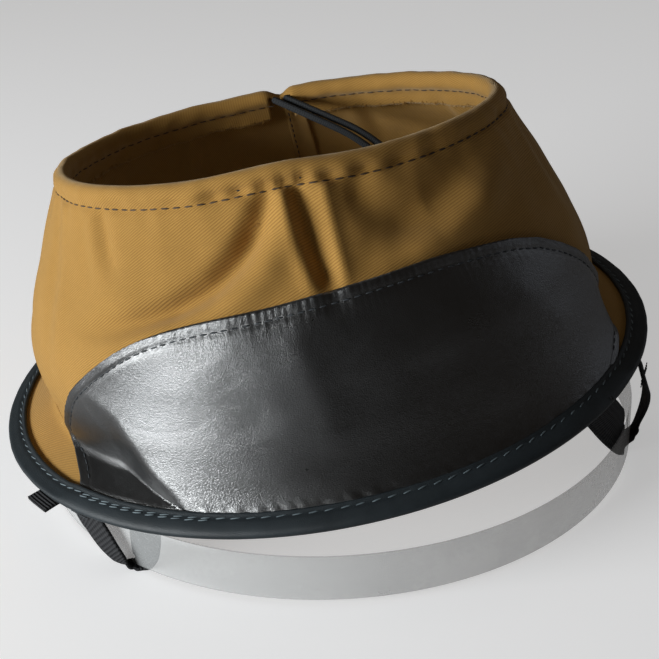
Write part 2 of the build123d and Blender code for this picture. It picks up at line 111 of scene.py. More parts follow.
def make_floor():
    bm = bmesh.new()
    bmesh.ops.create_grid(bm, x_segments=2, y_segments=2, size=16.0)
    back_edges = [e for e in bm.edges if all(v.co.y > 15.9 for v in e.verts)]
    raised = bmesh.ops.extrude_edge_only(bm, edges=back_edges)["geom"]
    bmesh.ops.translate(bm, verts=[g for g in raised if isinstance(g, bmesh.types.BMVert)], vec=(0, 2.4, 16.0))
    mesh = bpy.data.meshes.new("floor")
    bm.to_mesh(mesh)
    bm.free()
    floor = bpy.data.objects.new("floor", mesh)
    bpy.context.scene.collection.objects.link(floor)
    paint = bpy.data.materials.new("floor_paper")
    paint.use_nodes = True
    shader = paint.node_tree.nodes["Principled BSDF"]
    shader.inputs["Base Color"].default_value = (0.80, 0.80, 0.81, 1)
    shader.inputs["Roughness"].default_value = 0.9
    shader.inputs["Specular IOR Level"].default_value = 0.1
    lit = paint.node_tree.nodes.new("ShaderNodeLightPath")
    paint.node_tree.links.new(lit.outputs["Is Camera Ray"], shader.inputs["Emission Color"])
    shader.inputs["Emission Strength"].default_value = 0.42
    mesh.materials.append(paint)


make_floor()
lamp("window_left", (-1.12, -0.56, 0.28), (0, 0, 0.06), (0.85, 0.42), 22.0, (0.95, 0.985, 1.0))
lamp("overhead", (-0.2, 0.35, 1.5), (0, 0, 0), (0.8, 0.8), 0.9)
lamp("fill_right", (1.15, 0.30, 0.45), (0, 0, 0.05), (0.6, 0.6), 0.5, (0.80, 0.88, 1.0))
world = bpy.data.worlds.new("studio")
bpy.context.scene.world = world
world.use_nodes = True
world.node_tree.nodes["Background"].inputs["Color"].default_value = (1.0, 0.84, 0.70, 1)
world.node_tree.nodes["Background"].inputs["Strength"].default_value = 0.045
bpy.context.scene.view_settings.view_transform = "Standard"

# %% [markdown]
# ## The shape that everything is sewn to
# The crown bulges above the brim and narrows to the neck, and each level is an oval. A table of a few levels and
# a smooth curve through them are enough. All sizes in this part are in millimetres. An angle of 0 is the front,
# and positive angles go to the right as seen from the front. A place on the skin is an angle and a distance s up
# from the fold between brim and crown; below the fold s is negative and runs out along the sloping brim.

# %% Pose and driving sizes of the hood
HOOD_ROLL, HOOD_PITCH, HOOD_LIFT = -7.2, 0.2, 36.0
HOOD = (
    Matrix.Translation((0, 0, HOOD_LIFT))
    @ Matrix.Rotation(radians(HOOD_ROLL), 4, "Y")
    @ Matrix.Rotation(radians(HOOD_PITCH), 4, "X")
)
CLOTH_HALF_W, CLOTH_HALF_D = 134.2, 127.6          # edge of the brim's cloth
FOLD_HALF_W, FOLD_HALF_D, FOLD_Z = 113.5, 107.5, 9.0
RIM_Z = 103.0
SLOPE = FOLD_Z / (CLOTH_HALF_W - FOLD_HALF_W)
BRIM_RUN = hypot(CLOTH_HALF_W - FOLD_HALF_W, FOLD_Z)
LEVELS = (                                          # level, half width, half depth, rise of the front, y
    (4.0, 113.2, 107.1, 0.0, 0.0), (17.0, 116.4, 108.6, 0.0, 0.0), (28.0, 117.5, 109.0, 0.0, 0.0),
    (39.0, 116.2, 107.3, 0.0, 0.0), (50.0, 113.2, 104.0, 0.6, 0.0), (61.0, 108.8, 99.3, 1.5, 0.0),
    (71.0, 104.0, 93.8, 2.7, 0.0), (81.0, 98.6, 87.5, 4.2, 0.2), (91.5, 93.2, 81.4, 5.9, 0.5),
    (103.0, 88.1, 76.2, 7.6, 0.75), (106.0, 86.8, 74.9, 8.1, 0.8),
)
CLOTH = 0.9                                         # the twill's thickness
LEATHER = 1.2


def curve_through(rows, x):
    """Smooth curve through rows of (x, values...), read at x."""
    last = len(rows) - 1
    i = 0
    while i < last - 1 and x > rows[i + 1][0]:
        i += 1
    a, b = rows[i], rows[i + 1]
    before, after = rows[max(i - 1, 0)], rows[min(i + 2, last)]
    span = b[0] - a[0]
    t = min(max((x - a[0]) / span, 0.0), 1.0)
    values = []
    for k in range(1, len(a)):
        slope_a = (b[k] - before[k]) / (b[0] - before[0]) * span
        slope_b = (after[k] - a[k]) / (after[0] - a[0]) * span
        values.append(
            (2 * t**3 - 3 * t**2 + 1) * a[k] + (t**3 - 2 * t**2 + t) * slope_a
            + (3 * t**2 - 2 * t**3) * b[k] + (t**3 - t**2) * slope_b
        )
    return values


def crown_spot(angle, level):
    half_w, half_d, rise, y = curve_through(LEVELS, level)
    turn = radians(angle)
    return Vector((half_w * sin(turn), y - half_d * cos(turn), level + rise * cos(turn)))


def brim_spot(angle, out):
    """A point of the sloping brim, out past the cloth's edge (negative is inwards)."""
    turn = radians(angle)
    return Vector(((CLOTH_HALF_W + out) * sin(turn), -(CLOTH_HALF_D + out) * cos(turn), -out * SLOPE))


SOFT_FOLD = 5.0                                     # the fold is rounded over this distance each way


def skin_spot(angle, s, span=0.0):
    """The sewn surface at an angle, s above the fold, in the hood's own axes.

    The fold is rounded. A span from 0 to 1 bridges it more and more widely, as stiff leather does.
    """
    run_in = (CLOTH_HALF_W - FOLD_HALF_W) / BRIM_RUN
    below, above = SOFT_FOLD + 12.6 * span, SOFT_FOLD + 27.0 * span
    if s <= -below:
        return brim_spot(angle, -(BRIM_RUN + s) * run_in)
    if s >= above:
        return crown_spot(angle, FOLD_Z + s)
    low = brim_spot(angle, -(BRIM_RUN - below) * run_in)
    high = crown_spot(angle, FOLD_Z + above)
    corner = crown_spot(angle, FOLD_Z).lerp((low + high) / 2, 0.72 * span**2)
    t = (s + below) / (below + above)
    return low * (1 - t) ** 2 + corner * 2 * t * (1 - t) + high * t**2


def skin(angle, s, out=0.0, span=0.0):
    """The same in metres in the shared frame, lifted off the surface by out."""
    spot = skin_spot(angle, s, span)
    along = skin_spot(angle + 0.5, s, span) - skin_spot(angle - 0.5, s, span)
    up = skin_spot(angle, s + 0.4, span) - skin_spot(angle, s - 0.4, span)
    return HOOD @ (spot + along.cross(up).normalized() * out) * MM


print("skin at the front of the neck:", [round(x, 3) for x in skin(0, RIM_Z - FOLD_Z)])

# %% [markdown]
# ## A cloth grid
# bmesh's grid is the natural start for cloth: it is written flat, gets its UV map while it is flat, in metres, so
# that a weave keeps its true scale, and is then laid on the skin point by point. A ring is a grid whose two ends
# are merged. The Solidify modifier gives it its thickness.


# %% Helpers for pieces
def finish_piece(bm, name, material, body="root", smooth=True):
    mesh = bpy.data.meshes.new(name)
    bm.to_mesh(mesh)
    bm.free()
    mesh.materials.append(material)
    if smooth:
        mesh.shade_smooth()
    piece = bpy.data.objects.new(name, mesh)
    bpy.context.scene.collection.objects.link(piece)
    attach(piece, body)
    return piece


def cloth_grid(name, columns, rows, flat, place, material, closed=False, thick=None, offset=-1.0, body="root",
               keep=None, curl=0.0):
    """Cloth of a flat size in metres; place(u, v) says where each point goes, u and v from 0 to 1.

    A curl bends the flat pattern into a sector that turns by that share of a full round, as a cone's cloth is cut.
    """
    bm = bmesh.new()
    bmesh.ops.create_grid(bm, x_segments=columns, y_segments=rows, size=0.5)
    uv = bm.loops.layers.uv.new("UVMap")
    if keep:
        gone = [f for f in bm.faces if not keep(*(f.calc_center_median().xy + Vector((0.5, 0.5))))]
        bmesh.ops.delete(bm, geom=gone, context="FACES")
    for face in bm.faces:
        for loop in face.loops:
            x, y = loop.vert.co.x * flat[0], (loop.vert.co.y + 0.5) * flat[1]
            if curl:
                far = flat[0] / (2 * pi * curl)
                x, y = (far - y) * sin(x / far), far - (far - y) * cos(x / far)
            loop[uv].uv = (x, y)
    for vert in bm.verts:
        vert.co = place(vert.co.x + 0.5, vert.co.y + 0.5)
    if closed:
        bmesh.ops.remove_doubles(bm, verts=bm.verts, dist=1e-6)
    piece = finish_piece(bm, name, material, body)
    if thick:
        wall = piece.modifiers.new("thickness", "SOLIDIFY")
        wall.thickness = thick * MM
        wall.offset = offset
        wall.use_quality_normals = True
    return piece


def bump_of(distance, width):
    return exp(-((distance / width) ** 2))


def ease(low, high, x):
    t = min(max((x - low) / (high - low), 0.0), 1.0)
    return t * t * (3 - 2 * t)


# %% [markdown]
# ## Materials
# Weave, grain, ribs and fuzz are node groups, because several finishes use them with their own numbers. Each
# group puts out only a height and a mask; the weave's and the ribs' mask, called Shade, is painted shade, darker in
# their grooves and lighter on their crests, and goes into the colour. The shader stays in the material.


# %% Helper for node groups
def new_group(name, inputs, outputs):
    group = bpy.data.node_groups.new(name, "ShaderNodeTree")
    for label, kind, value in inputs:
        socket = group.interface.new_socket(label, in_out="INPUT", socket_type=kind)
        if value is not None:
            socket.default_value = value
    for label, kind in outputs:
        group.interface.new_socket(label, in_out="OUTPUT", socket_type=kind)
    return group, group.nodes.new("NodeGroupInput"), group.nodes.new("NodeGroupOutput")


def math_node(tree, operation, *values):
    node = tree.nodes.new("ShaderNodeMath")
    node.operation = operation
    for i, value in enumerate(values):
        if isinstance(value, bpy.types.NodeSocket):
            tree.links.new(value, node.inputs[i])
        else:
            node.inputs[i].default_value = value
    return node.outputs[0]


def noise_node(tree, vector, scale, detail=2.0, roughness=0.5):
    node = tree.nodes.new("ShaderNodeTexNoise")
    tree.links.new(vector, node.inputs["Vector"])
    node.inputs["Detail"].default_value = detail
    node.inputs["Roughness"].default_value = roughness
    if isinstance(scale, bpy.types.NodeSocket):
        tree.links.new(scale, node.inputs["Scale"])
    else:
        node.inputs["Scale"].default_value = scale
    return node.outputs["Fac"]


# %% Weave group: slanted ridges (wales) crossed by the single yarns
FLOAT, VECTOR = "NodeSocketFloat", "NodeSocketVector"


def build_weave():
    tree, given, made = new_group(
        "slanted_weave",
        [("Vector", VECTOR, None), ("Wales per metre", FLOAT, 900.0), ("Slant", FLOAT, 0.55),
         ("Yarn", FLOAT, 0.4)],
        [("Height", FLOAT), ("Shade", FLOAT)],
    )
    parts = tree.nodes.new("ShaderNodeSeparateXYZ")
    tree.links.new(given.outputs["Vector"], parts.inputs[0])
    wander = noise_node(tree, given.outputs["Vector"], 14.0, 1.0)
    wander = math_node(tree, "MULTIPLY", math_node(tree, "SUBTRACT", wander, 0.5), 5.0)
    sine = math_node(tree, "SINE", given.outputs["Slant"])
    cosine = math_node(tree, "COSINE", given.outputs["Slant"])
    up = math_node(tree, "SUBTRACT", math_node(tree, "MULTIPLY", parts.outputs["Y"], cosine),
                   math_node(tree, "MULTIPLY", parts.outputs["X"], sine))
    across = math_node(tree, "ADD", math_node(tree, "MULTIPLY", parts.outputs["X"], cosine),
                       math_node(tree, "MULTIPLY", parts.outputs["Y"], sine))
    wales = math_node(tree, "MULTIPLY", given.outputs["Wales per metre"], 2 * pi)
    wale_wave = math_node(tree, "SINE", math_node(tree, "ADD", math_node(tree, "MULTIPLY", up, wales), wander))
    yarn_wave = math_node(
        tree, "SINE",
        math_node(tree, "ADD", math_node(tree, "MULTIPLY", across, math_node(tree, "MULTIPLY", wales, 1.6)),
                  math_node(tree, "MULTIPLY", wale_wave, 1.2)),
    )
    ridge = math_node(tree, "ADD", math_node(tree, "MULTIPLY", wale_wave, 0.5), 0.5)
    ridge = math_node(tree, "POWER", ridge, 0.45)
    yarn = math_node(tree, "MULTIPLY", math_node(tree, "MULTIPLY", yarn_wave, given.outputs["Yarn"]), ridge)
    height = math_node(tree, "ADD", ridge, yarn)
    fuzz = noise_node(tree, given.outputs["Vector"], 2600.0, 2.0, 0.7)
    height = math_node(tree, "ADD", height, math_node(tree, "MULTIPLY", fuzz, 0.5))
    tree.links.new(height, made.inputs["Height"])
    # Shade: painted shade from the wale ridges, so the colour is darker in the grooves between wales and lighter on
    # the ridges, plus a little real fibre tone from the fuzz.
    shade = math_node(tree, "ADD", math_node(tree, "MULTIPLY", ridge, 0.75), math_node(tree, "MULTIPLY", fuzz, 0.35))
    tree.links.new(shade, made.inputs["Shade"])
    return tree


weave_group = build_weave()


# %% Hide group: pores and fine creases of leather
def build_hide():
    tree, given, made = new_group(
        "hide_grain",
        [("Vector", VECTOR, None), ("Pores per metre", FLOAT, 900.0), ("Crease", FLOAT, 0.6)],
        [("Height", FLOAT), ("Mask", FLOAT)],
    )
    cells = tree.nodes.new("ShaderNodeTexVoronoi")
    cells.feature = "DISTANCE_TO_EDGE"
    cells.inputs["Randomness"].default_value = 0.9
    tree.links.new(given.outputs["Vector"], cells.inputs["Vector"])
    tree.links.new(given.outputs["Pores per metre"], cells.inputs["Scale"])
    walls = math_node(tree, "MINIMUM", math_node(tree, "MULTIPLY", cells.outputs[0], 3.0), 1.0)
    pore = math_node(tree, "POWER", walls, 0.6)
    pores = given.outputs["Pores per metre"]
    fine = noise_node(tree, given.outputs["Vector"], math_node(tree, "MULTIPLY", pores, 0.22), 5.0, 0.62)
    broad = noise_node(tree, given.outputs["Vector"], math_node(tree, "MULTIPLY", pores, 0.04), 4.0, 0.6)
    crease = math_node(tree, "MULTIPLY", math_node(tree, "ADD", fine, broad), given.outputs["Crease"])
    tree.links.new(math_node(tree, "ADD", pore, crease), made.inputs["Height"])
    tree.links.new(broad, made.inputs["Mask"])
    return tree


hide_group = build_hide()


# %% Rib group: the cross ribs of elastic and the braid of a cord
def build_ribs():
    tree, given, made = new_group(
        "ribs",
        [("Vector", VECTOR, None), ("Ribs along", FLOAT, 900.0), ("Ribs across", FLOAT, 0.0), ("Lean", FLOAT, 0.0)],
        [("Height", FLOAT), ("Shade", FLOAT)],
    )
    parts = tree.nodes.new("ShaderNodeSeparateXYZ")
    tree.links.new(given.outputs["Vector"], parts.inputs[0])
    waves = []
    for sign in (1.0, -1.0):
        leaning = math_node(tree, "MULTIPLY", parts.outputs["Y"], given.outputs["Lean"])
        along = math_node(tree, "MULTIPLY", parts.outputs["X"], given.outputs["Ribs along"])
        turn = math_node(tree, "ADD", along, math_node(tree, "MULTIPLY", leaning, sign))
        waves.append(math_node(tree, "SINE", math_node(tree, "MULTIPLY", turn, 2 * pi)))
    braid = math_node(tree, "MAXIMUM", waves[0], waves[1])
    side = math_node(tree, "SINE", math_node(tree, "MULTIPLY", parts.outputs["Y"],
                                             math_node(tree, "MULTIPLY", given.outputs["Ribs across"], 2 * pi)))
    height = math_node(tree, "ADD", math_node(tree, "MULTIPLY", braid, 0.5), math_node(tree, "MULTIPLY", side, 0.3))
    fuzz = noise_node(tree, given.outputs["Vector"], 1800.0, 2.0)
    height = math_node(tree, "ADD", height, math_node(tree, "MULTIPLY", fuzz, 0.3))
    tree.links.new(height, made.inputs["Height"])
    # Shade: painted shade and highlight from the height, darker in the grooves of the ribs and braid, lighter on
    # their crests.
    tree.links.new(math_node(tree, "ADD", math_node(tree, "MULTIPLY", height, 0.5), 0.5), made.inputs["Shade"])
    return tree


rib_group = build_ribs()


# %% Soil group: slow changes of tone, as from handling and light
def build_soil():
    tree, given, made = new_group(
        "handling", [("Vector", VECTOR, None), ("Size", FLOAT, 14.0), ("Strength", FLOAT, 0.2)], [("Tone", FLOAT)]
    )
    slow = noise_node(tree, given.outputs["Vector"], given.outputs["Size"], 4.0, 0.55)
    speck = noise_node(tree, given.outputs["Vector"], math_node(tree, "MULTIPLY", given.outputs["Size"], 22.0), 3.0)
    tone = math_node(tree, "ADD", math_node(tree, "MULTIPLY", math_node(tree, "SUBTRACT", slow, 0.5), 1.6),
                     math_node(tree, "MULTIPLY", math_node(tree, "SUBTRACT", speck, 0.5), 0.5))
    tone = math_node(tree, "ADD", math_node(tree, "MULTIPLY", tone, given.outputs["Strength"]), 1.0)
    tree.links.new(tone, made.inputs["Tone"])
    return tree


soil_group = build_soil()


# %% Materials from the groups
def new_material(name, colour, roughness, **sockets):
    material = bpy.data.materials.new(name)
    material.use_nodes = True
    shader = material.node_tree.nodes["Principled BSDF"]
    shader.inputs["Base Color"].default_value = (*colour, 1)
    shader.inputs["Roughness"].default_value = roughness
    for label, value in sockets.items():
        shader.inputs[label.replace("_", " ")].default_value = value
    return material, material.node_tree, shader


def place_group(tree, group, vector, **numbers):
    node = tree.nodes.new("ShaderNodeGroup")
    node.node_tree = group
    tree.links.new(vector, node.inputs["Vector"])
    for label, value in numbers.items():
        node.inputs[label.replace("_", " ")].default_value = value
    return node


def coordinates(tree, label):
    return tree.nodes.new("ShaderNodeTexCoord").outputs[label]


def colour_by(tree, factor, dark, light):
    ramp = tree.nodes.new("ShaderNodeMix")
    ramp.data_type = "RGBA"
    ramp.clamp_factor = True
    tree.links.new(factor, ramp.inputs["Factor"])
    ramp.inputs["A"].default_value = (*dark, 1)
    ramp.inputs["B"].default_value = (*light, 1)
    return ramp.outputs["Result"]


def times(tree, colour, factor):
    mix = tree.nodes.new("ShaderNodeVectorMath")
    mix.operation = "SCALE"
    tree.links.new(colour, mix.inputs[0])
    tree.links.new(factor, mix.inputs["Scale"])
    return mix.outputs[0]


def bump(tree, shader, height, distance, strength=1.0):
    node = tree.nodes.new("ShaderNodeBump")
    node.inputs["Distance"].default_value = distance
    node.inputs["Strength"].default_value = strength
    tree.links.new(height, node.inputs["Height"])
    tree.links.new(node.outputs["Normal"], shader.inputs["Normal"])


def make_twill():
    material, tree, shader = new_material("golden_twill", (0.4, 0.2, 0.06), 0.86, Specular_IOR_Level=0.25,
                                          Sheen_Weight=0.25, Sheen_Roughness=0.45)
    shader.inputs["Sheen Tint"].default_value = (1.0, 0.86, 0.62, 1)
    weave = place_group(tree, weave_group, coordinates(tree, "UV"), Wales_per_metre=1380.0, Slant=0.34, Yarn=0.2)
    soil = place_group(tree, soil_group, coordinates(tree, "Object"), Size=16.0, Strength=0.22)
    # The weave's Shade darkens the twill's colour in the grooves between the wales and lightens it on the ridges:
    # painted shade, with some real fibre tone.
    cloth = colour_by(tree, weave.outputs["Shade"], (0.190, 0.091, 0.018), (0.415, 0.226, 0.051))
    tree.links.new(times(tree, cloth, soil.outputs["Tone"]), shader.inputs["Base Color"])
    bump(tree, shader, weave.outputs["Height"], 0.00009, 0.8)
    return material


def make_leather():
    material, tree, shader = new_material("black_leather", (0.003, 0.004, 0.005), 0.36, Specular_IOR_Level=0.95,
                                          IOR=1.68)
    grain = place_group(tree, hide_group, coordinates(tree, "UV"), Pores_per_metre=1400.0, Crease=0.9)
    soil = place_group(tree, soil_group, coordinates(tree, "Object"), Size=22.0, Strength=0.35)
    hide = colour_by(tree, grain.outputs["Mask"], (0.0012, 0.0018, 0.0022), (0.0040, 0.0052, 0.0062))
    tree.links.new(times(tree, hide, soil.outputs["Tone"]), shader.inputs["Base Color"])
    rough = math_node(tree, "ADD", math_node(tree, "MULTIPLY", grain.outputs["Mask"], 0.16), 0.22)
    tree.links.new(rough, shader.inputs["Roughness"])
    bump(tree, shader, grain.outputs["Height"], 0.00010, 0.45)
    return material


def make_binding():
    material, tree, shader = new_material("slate_binding", (0.012, 0.016, 0.019), 0.5, Specular_IOR_Level=0.35)
    grain = place_group(tree, hide_group, coordinates(tree, "UV"), Pores_per_metre=1500.0, Crease=0.7)
    soil = place_group(tree, soil_group, coordinates(tree, "Object"), Size=40.0, Strength=0.5)
    tape = colour_by(tree, grain.outputs["Mask"], (0.009, 0.013, 0.016), (0.024, 0.032, 0.037))
    tree.links.new(times(tree, tape, soil.outputs["Tone"]), shader.inputs["Base Color"])
    bump(tree, shader, grain.outputs["Height"], 0.0001, 0.5)
    return material


def make_elastic():
    material, tree, shader = new_material("black_elastic", (0.01, 0.01, 0.011), 0.75, Specular_IOR_Level=0.3)
    ribs = place_group(tree, rib_group, coordinates(tree, "UV"), Ribs_along=780.0, Ribs_across=500.0, Lean=0.0)
    # Painted shade from the ribs: the elastic's colour is darker in their grooves and lighter on their crests.
    tree.links.new(colour_by(tree, ribs.outputs["Shade"], (0.004, 0.004, 0.005), (0.030, 0.031, 0.034)),
                   shader.inputs["Base Color"])
    bump(tree, shader, ribs.outputs["Height"], 0.0004, 1.0)
    return material


def make_cord():
    material, tree, shader = new_material("braided_cord", (0.02, 0.02, 0.022), 0.7, Specular_IOR_Level=0.35)
    ribs = place_group(tree, rib_group, coordinates(tree, "UV"), Ribs_along=260.0, Ribs_across=0.0, Lean=3.0)
    # Painted shade from the braid: the cord's colour is darker between its strands and lighter on them.
    tree.links.new(colour_by(tree, ribs.outputs["Shade"], (0.003, 0.003, 0.004), (0.034, 0.038, 0.042)),
                   shader.inputs["Base Color"])
    bump(tree, shader, ribs.outputs["Height"], 0.0006, 1.0)
    return material


def make_clear():
    material, tree, shader = new_material("frosted_clear", (0.52, 0.53, 0.53), 0.28, Specular_IOR_Level=0.5)
    haze = place_group(tree, soil_group, coordinates(tree, "Object"), Size=30.0, Strength=0.25)
    tree.links.new(math_node(tree, "MULTIPLY", haze.outputs["Tone"], 0.34), shader.inputs["Alpha"])
    tree.links.new(math_node(tree, "MULTIPLY", haze.outputs["Tone"], 0.28), shader.inputs["Roughness"])
    return material


def make_thread(name, dark, light):
    material, tree, shader = new_material(name, light, 0.6, Specular_IOR_Level=0.4)
    soil = place_group(tree, soil_group, coordinates(tree, "Object"), Size=300.0, Strength=0.9)
    tone = math_node(tree, "SUBTRACT", soil.outputs["Tone"], 0.5)
    tree.links.new(colour_by(tree, tone, dark, light), shader.inputs["Base Color"])
    return material


def make_hard(name, dark, light, roughness, metal):
    material, tree, shader = new_material(name, light, roughness, Metallic=metal)
    soil = place_group(tree, soil_group, coordinates(tree, "Object"), Size=120.0, Strength=0.6)
    tree.links.new(colour_by(tree, math_node(tree, "SUBTRACT", soil.outputs["Tone"], 0.5), dark, light),
                   shader.inputs["Base Color"])
    tree.links.new(math_node(tree, "MULTIPLY", soil.outputs["Tone"], roughness), shader.inputs["Roughness"])
    return material


twill = make_twill()
leather = make_leather()
binding_tape = make_binding()
elastic = make_elastic()
braid = make_cord()
clear_plastic = make_clear()
brown_thread = make_thread("brown_thread", (0.022, 0.013, 0.007), (0.075, 0.046, 0.026))
black_thread = make_thread("black_thread", (0.010, 0.012, 0.014), (0.050, 0.058, 0.065))
grey_thread = make_thread("grey_thread", (0.045, 0.060, 0.070), (0.190, 0.240, 0.265))
steel = make_hard("spring_steel", (0.35, 0.35, 0.36), (0.60, 0.60, 0.61), 0.35, 1.0)
rivet_metal = make_hard("dull_rivet", (0.30, 0.27, 0.22), (0.55, 0.50, 0.42), 0.40, 1.0)
lock_plastic = make_hard("black_plastic", (0.010, 0.010, 0.011), (0.030, 0.030, 0.032), 0.45, 0.0)
print(len(bpy.data.materials), "materials,", len(bpy.data.node_groups), "groups")

# %% [markdown]
# ## Folds of the crown
# Where the soft cloth is drawn in at the neck it gathers, and weight and handling leave a few long creases.
# A crease is a line over the skin with a valley along it and a low ridge beside it. Lines are given as pairs of
# angle and level, and distances are measured over the cloth, about 1.8 mm to a degree.

# %% Creases
HOOD_UP = HOOD.to_3x3() @ Vector((0, 0, MM))
DEGREE = 1.8                                        # mm of cloth per degree of angle


def line_distance(angle, level, line):
    """Signed distance in mm from a line of (angle, level), and how far along it, from 0 to 1."""
    best, side, share = 1e9, 1.0, 0.0
    steps = len(line) - 1
    for i in range(steps):
        ax, ay = line[i][0] * DEGREE, line[i][1]
        bx, by = line[i + 1][0] * DEGREE, line[i + 1][1]
        px, py = angle * DEGREE - ax, level - ay
        run = (bx - ax) ** 2 + (by - ay) ** 2
        t = min(max((px * (bx - ax) + py * (by - ay)) / run, 0.0), 1.0)
        dx, dy = px - t * (bx - ax), py - t * (by - ay)
        d = hypot(dx, dy)
        if d < best:
            best, share = d, (i + t) / steps
            side = 1.0 if (bx - ax) * dy - (by - ay) * dx > 0 else -1.0
    return best * side, share


TOP_SIDE = (        # angle, s
    (-37.0, 45.7), (-31.0, 50.6), (-22.0, 54.8), (-8.0, 57.6), (5.6, 59.4), (21.5, 60.2), (32.4, 59.2), (44.6, 55.8),
    (53.5, 50.5),
)
CREASES = (         # line, valley depth, valley width, ridge height, ridge width, ridge offset, fade in, fade out
    (((-1.5, 97), (-5.5, 88), (-11, 80), (-17, 73.5), (-25, 68), (-36, 63), (-50, 58)),
     6.8, 3.7, 2.4, 5.5, 9.5, 0.35, 0.35),
    (((3.6, 97), (5.0, 84), (6.6, 70), (7.2, 62)), 4.8, 3.5, 1.5, 3.0, -6.0, 0.02, 0.10),
    (((9.8, 97), (9.6, 82), (9.4, 70), (9.4, 64)), -1.8, 2.6, 0.0, 3.0, 5.0, 0.05, 0.15),
    (((-47, 96), (-43, 84), (-38, 76)), 1.5, 3.4, 0.9, 4.0, -6.5, 0.1, 0.5),
    (((20, 68), (27, 71), (35, 75), (46, 79), (58, 84)), -3.2, 6.0, -1.8, 5.0, 11.0, 0.3, 0.3),
    (((15, 96), (20, 86), (31, 79), (44, 88)), 3.0, 6.5, 0.0, 4.0, 5.0, 0.2, 0.3),
    (((-70, 96), (-66, 82), (-62, 66), (-61, 50), (-63, 34)), 1.1, 5.0, 0.6, 5.0, 8.0, 0.2, 0.4),
    (((80, 95), (77, 84), (76, 68), (78, 52)), 1.3, 6.0, 0.6, 5.0, -8.0, 0.2, 0.4),
    (((131, 96), (128, 82), (126, 64), (127, 44)), 1.8, 5.0, 0.9, 5.0, 8.0, 0.1, 0.4),
    (((163, 95), (161, 80), (160, 64), (161, 48)), 1.4, 5.0, 0.8, 4.0, -7.0, 0.1, 0.4),
    (((-150, 96), (-153, 82), (-153, 66), (-150, 50)), 2.0, 5.0, 1.0, 5.0, 8.0, 0.1, 0.4),
    (((-112, 95), (-115, 80), (-115, 62), (-111, 46)), 1.5, 6.0, 0.7, 5.0, -8.0, 0.1, 0.4),
)
POCKETS = (         # angle, depth and width of the dark dimples where the casing is drawn together
    (-24.0, 1.2, 3.0), (-14.5, 2.4, 3.6), (-8.6, 2.9, 3.4), (-2.8, 2.8, 2.6), (1.6, 3.0, 2.1), (5.6, 3.0, 2.3),
    (11.4, 2.6, 3.2), (19.4, 2.8, 3.6), (28.4, 2.2, 4.6), (38.0, 1.4, 5.0), (50.0, 1.0, 4.0), (68.0, 1.0, 4.0),
    (92.0, 1.2, 4.0), (118.0, 1.0, 4.0), (143.0, 1.4, 3.5), (-40.0, 0.9, 4.0), (-66.0, 0.8, 4.0), (-96.0, 1.0, 4.0),
    (-121.0, 1.3, 3.5), (-149.0, 1.2, 4.0),
)
SEWN_LEVEL = 95.8                                   # the casing's stitch line


def creases(angle, level):
    push = 0.0
    for line, depth, width, ridge, ridge_width, ridge_offset, fade_in, fade_out in CREASES:
        if abs(angle - line[0][0]) > 40 and abs(angle - line[-1][0]) > 40:
            continue
        d, share = line_distance(angle, level, line)
        if abs(d) > 26:
            continue
        strength = min(1.0, 0.35 + share / max(fade_in, 0.01)) * min(1.0, (1.02 - share) / fade_out)
        push -= depth * bump_of(d, width) * strength
        push += ridge * bump_of(d - ridge_offset, ridge_width) * strength
    return push


def gathers(angle, level):
    """Short upright gathers under the casing, deepest where the cord pulls."""
    reach = exp(-max(SEWN_LEVEL - level, 0.0) / 9.0)
    wave = sin(radians(angle * 61)) * 0.5 + sin(radians(angle * 37 + 40)) * 0.6
    return wave * 0.42 * reach * (0.5 + 0.5 * noise.noise((angle * 0.05, 3.0, 0.0)))


def slump(angle, level):
    turn = radians(angle)
    spot = Vector((sin(turn), cos(turn), level * 0.012))
    return 1.5 * noise.noise(spot * 2.3) + 0.7 * noise.noise(spot * 6.0 + Vector((5, 1, 2)))


# %% [markdown]
# ## The crown
# The cloth runs up from the brim, rolls over at the neck, comes down inside to the stitch line and ends in a
# raw hem. All of that is one strip, so it is one grid, whose rows follow a smooth line through a few points.

# %% Crown
def above_leather(angle, level):
    """1 on free cloth, less where the leather is sewn down on it."""
    first, last = TOP_SIDE[0][0], TOP_SIDE[-1][0]
    beside = ease(first - 4, first + 2, angle) * ease(last + 4, last - 2, angle)
    top = curve_through(TOP_SIDE, min(max(angle, first), last))[0]
    return 1 - beside * 0.85 * (1 - ease(top - 2.0, top + 5.0, level - FOLD_Z))


def cloth_out(angle, level):
    """How far the crown's cloth lies off the skin below the casing."""
    low = ease(8, 24, level)
    calm = creases(angle, level) * above_leather(angle, level)
    return (calm + gathers(angle, level) + slump(angle, level)) * low


CROWN_LINE = (      # level, out: from the fold up the outside, over the rim, down the inside to the raw hem
    (7.0, -0.5), (20.0, 0.0), (40.0, 0.0), (60.0, 0.0), (78.0, 0.0), (90.0, 0.0), (94.5, -0.1), (95.8, -0.8),
    (97.1, 0.3), (98.8, 1.0), (100.6, 0.9), (102.1, 0.0), (102.9, -1.5), (103.0, -3.1), (101.9, -4.9),
    (99.6, -6.0), (97.4, -5.8), (95.8, -5.0), (94.2, -4.6), (92.0, -4.7), (90.0, -4.9), (88.4, -5.1),
)
CROWN_COLUMNS, CROWN_ROWS = 330, 104


def measured_line(points, count):
    """Evenly spaced points on a smooth line through the given ones, and its length."""
    rows = [(float(i), *p) for i, p in enumerate(points)]
    fine = [Vector(curve_through(rows, i / 20)) for i in range((len(points) - 1) * 20 + 1)]
    lengths = [0.0]
    for a, b in zip(fine, fine[1:]):
        lengths.append(lengths[-1] + (b - a).length)
    spaced, k = [], 0
    for i in range(count):
        want = lengths[-1] * i / (count - 1)
        while k < len(fine) - 2 and lengths[k + 1] < want:
            k += 1
        t = (want - lengths[k]) / max(lengths[k + 1] - lengths[k], 1e-9)
        spaced.append(fine[k].lerp(fine[k + 1], t))
    return spaced, lengths[-1]


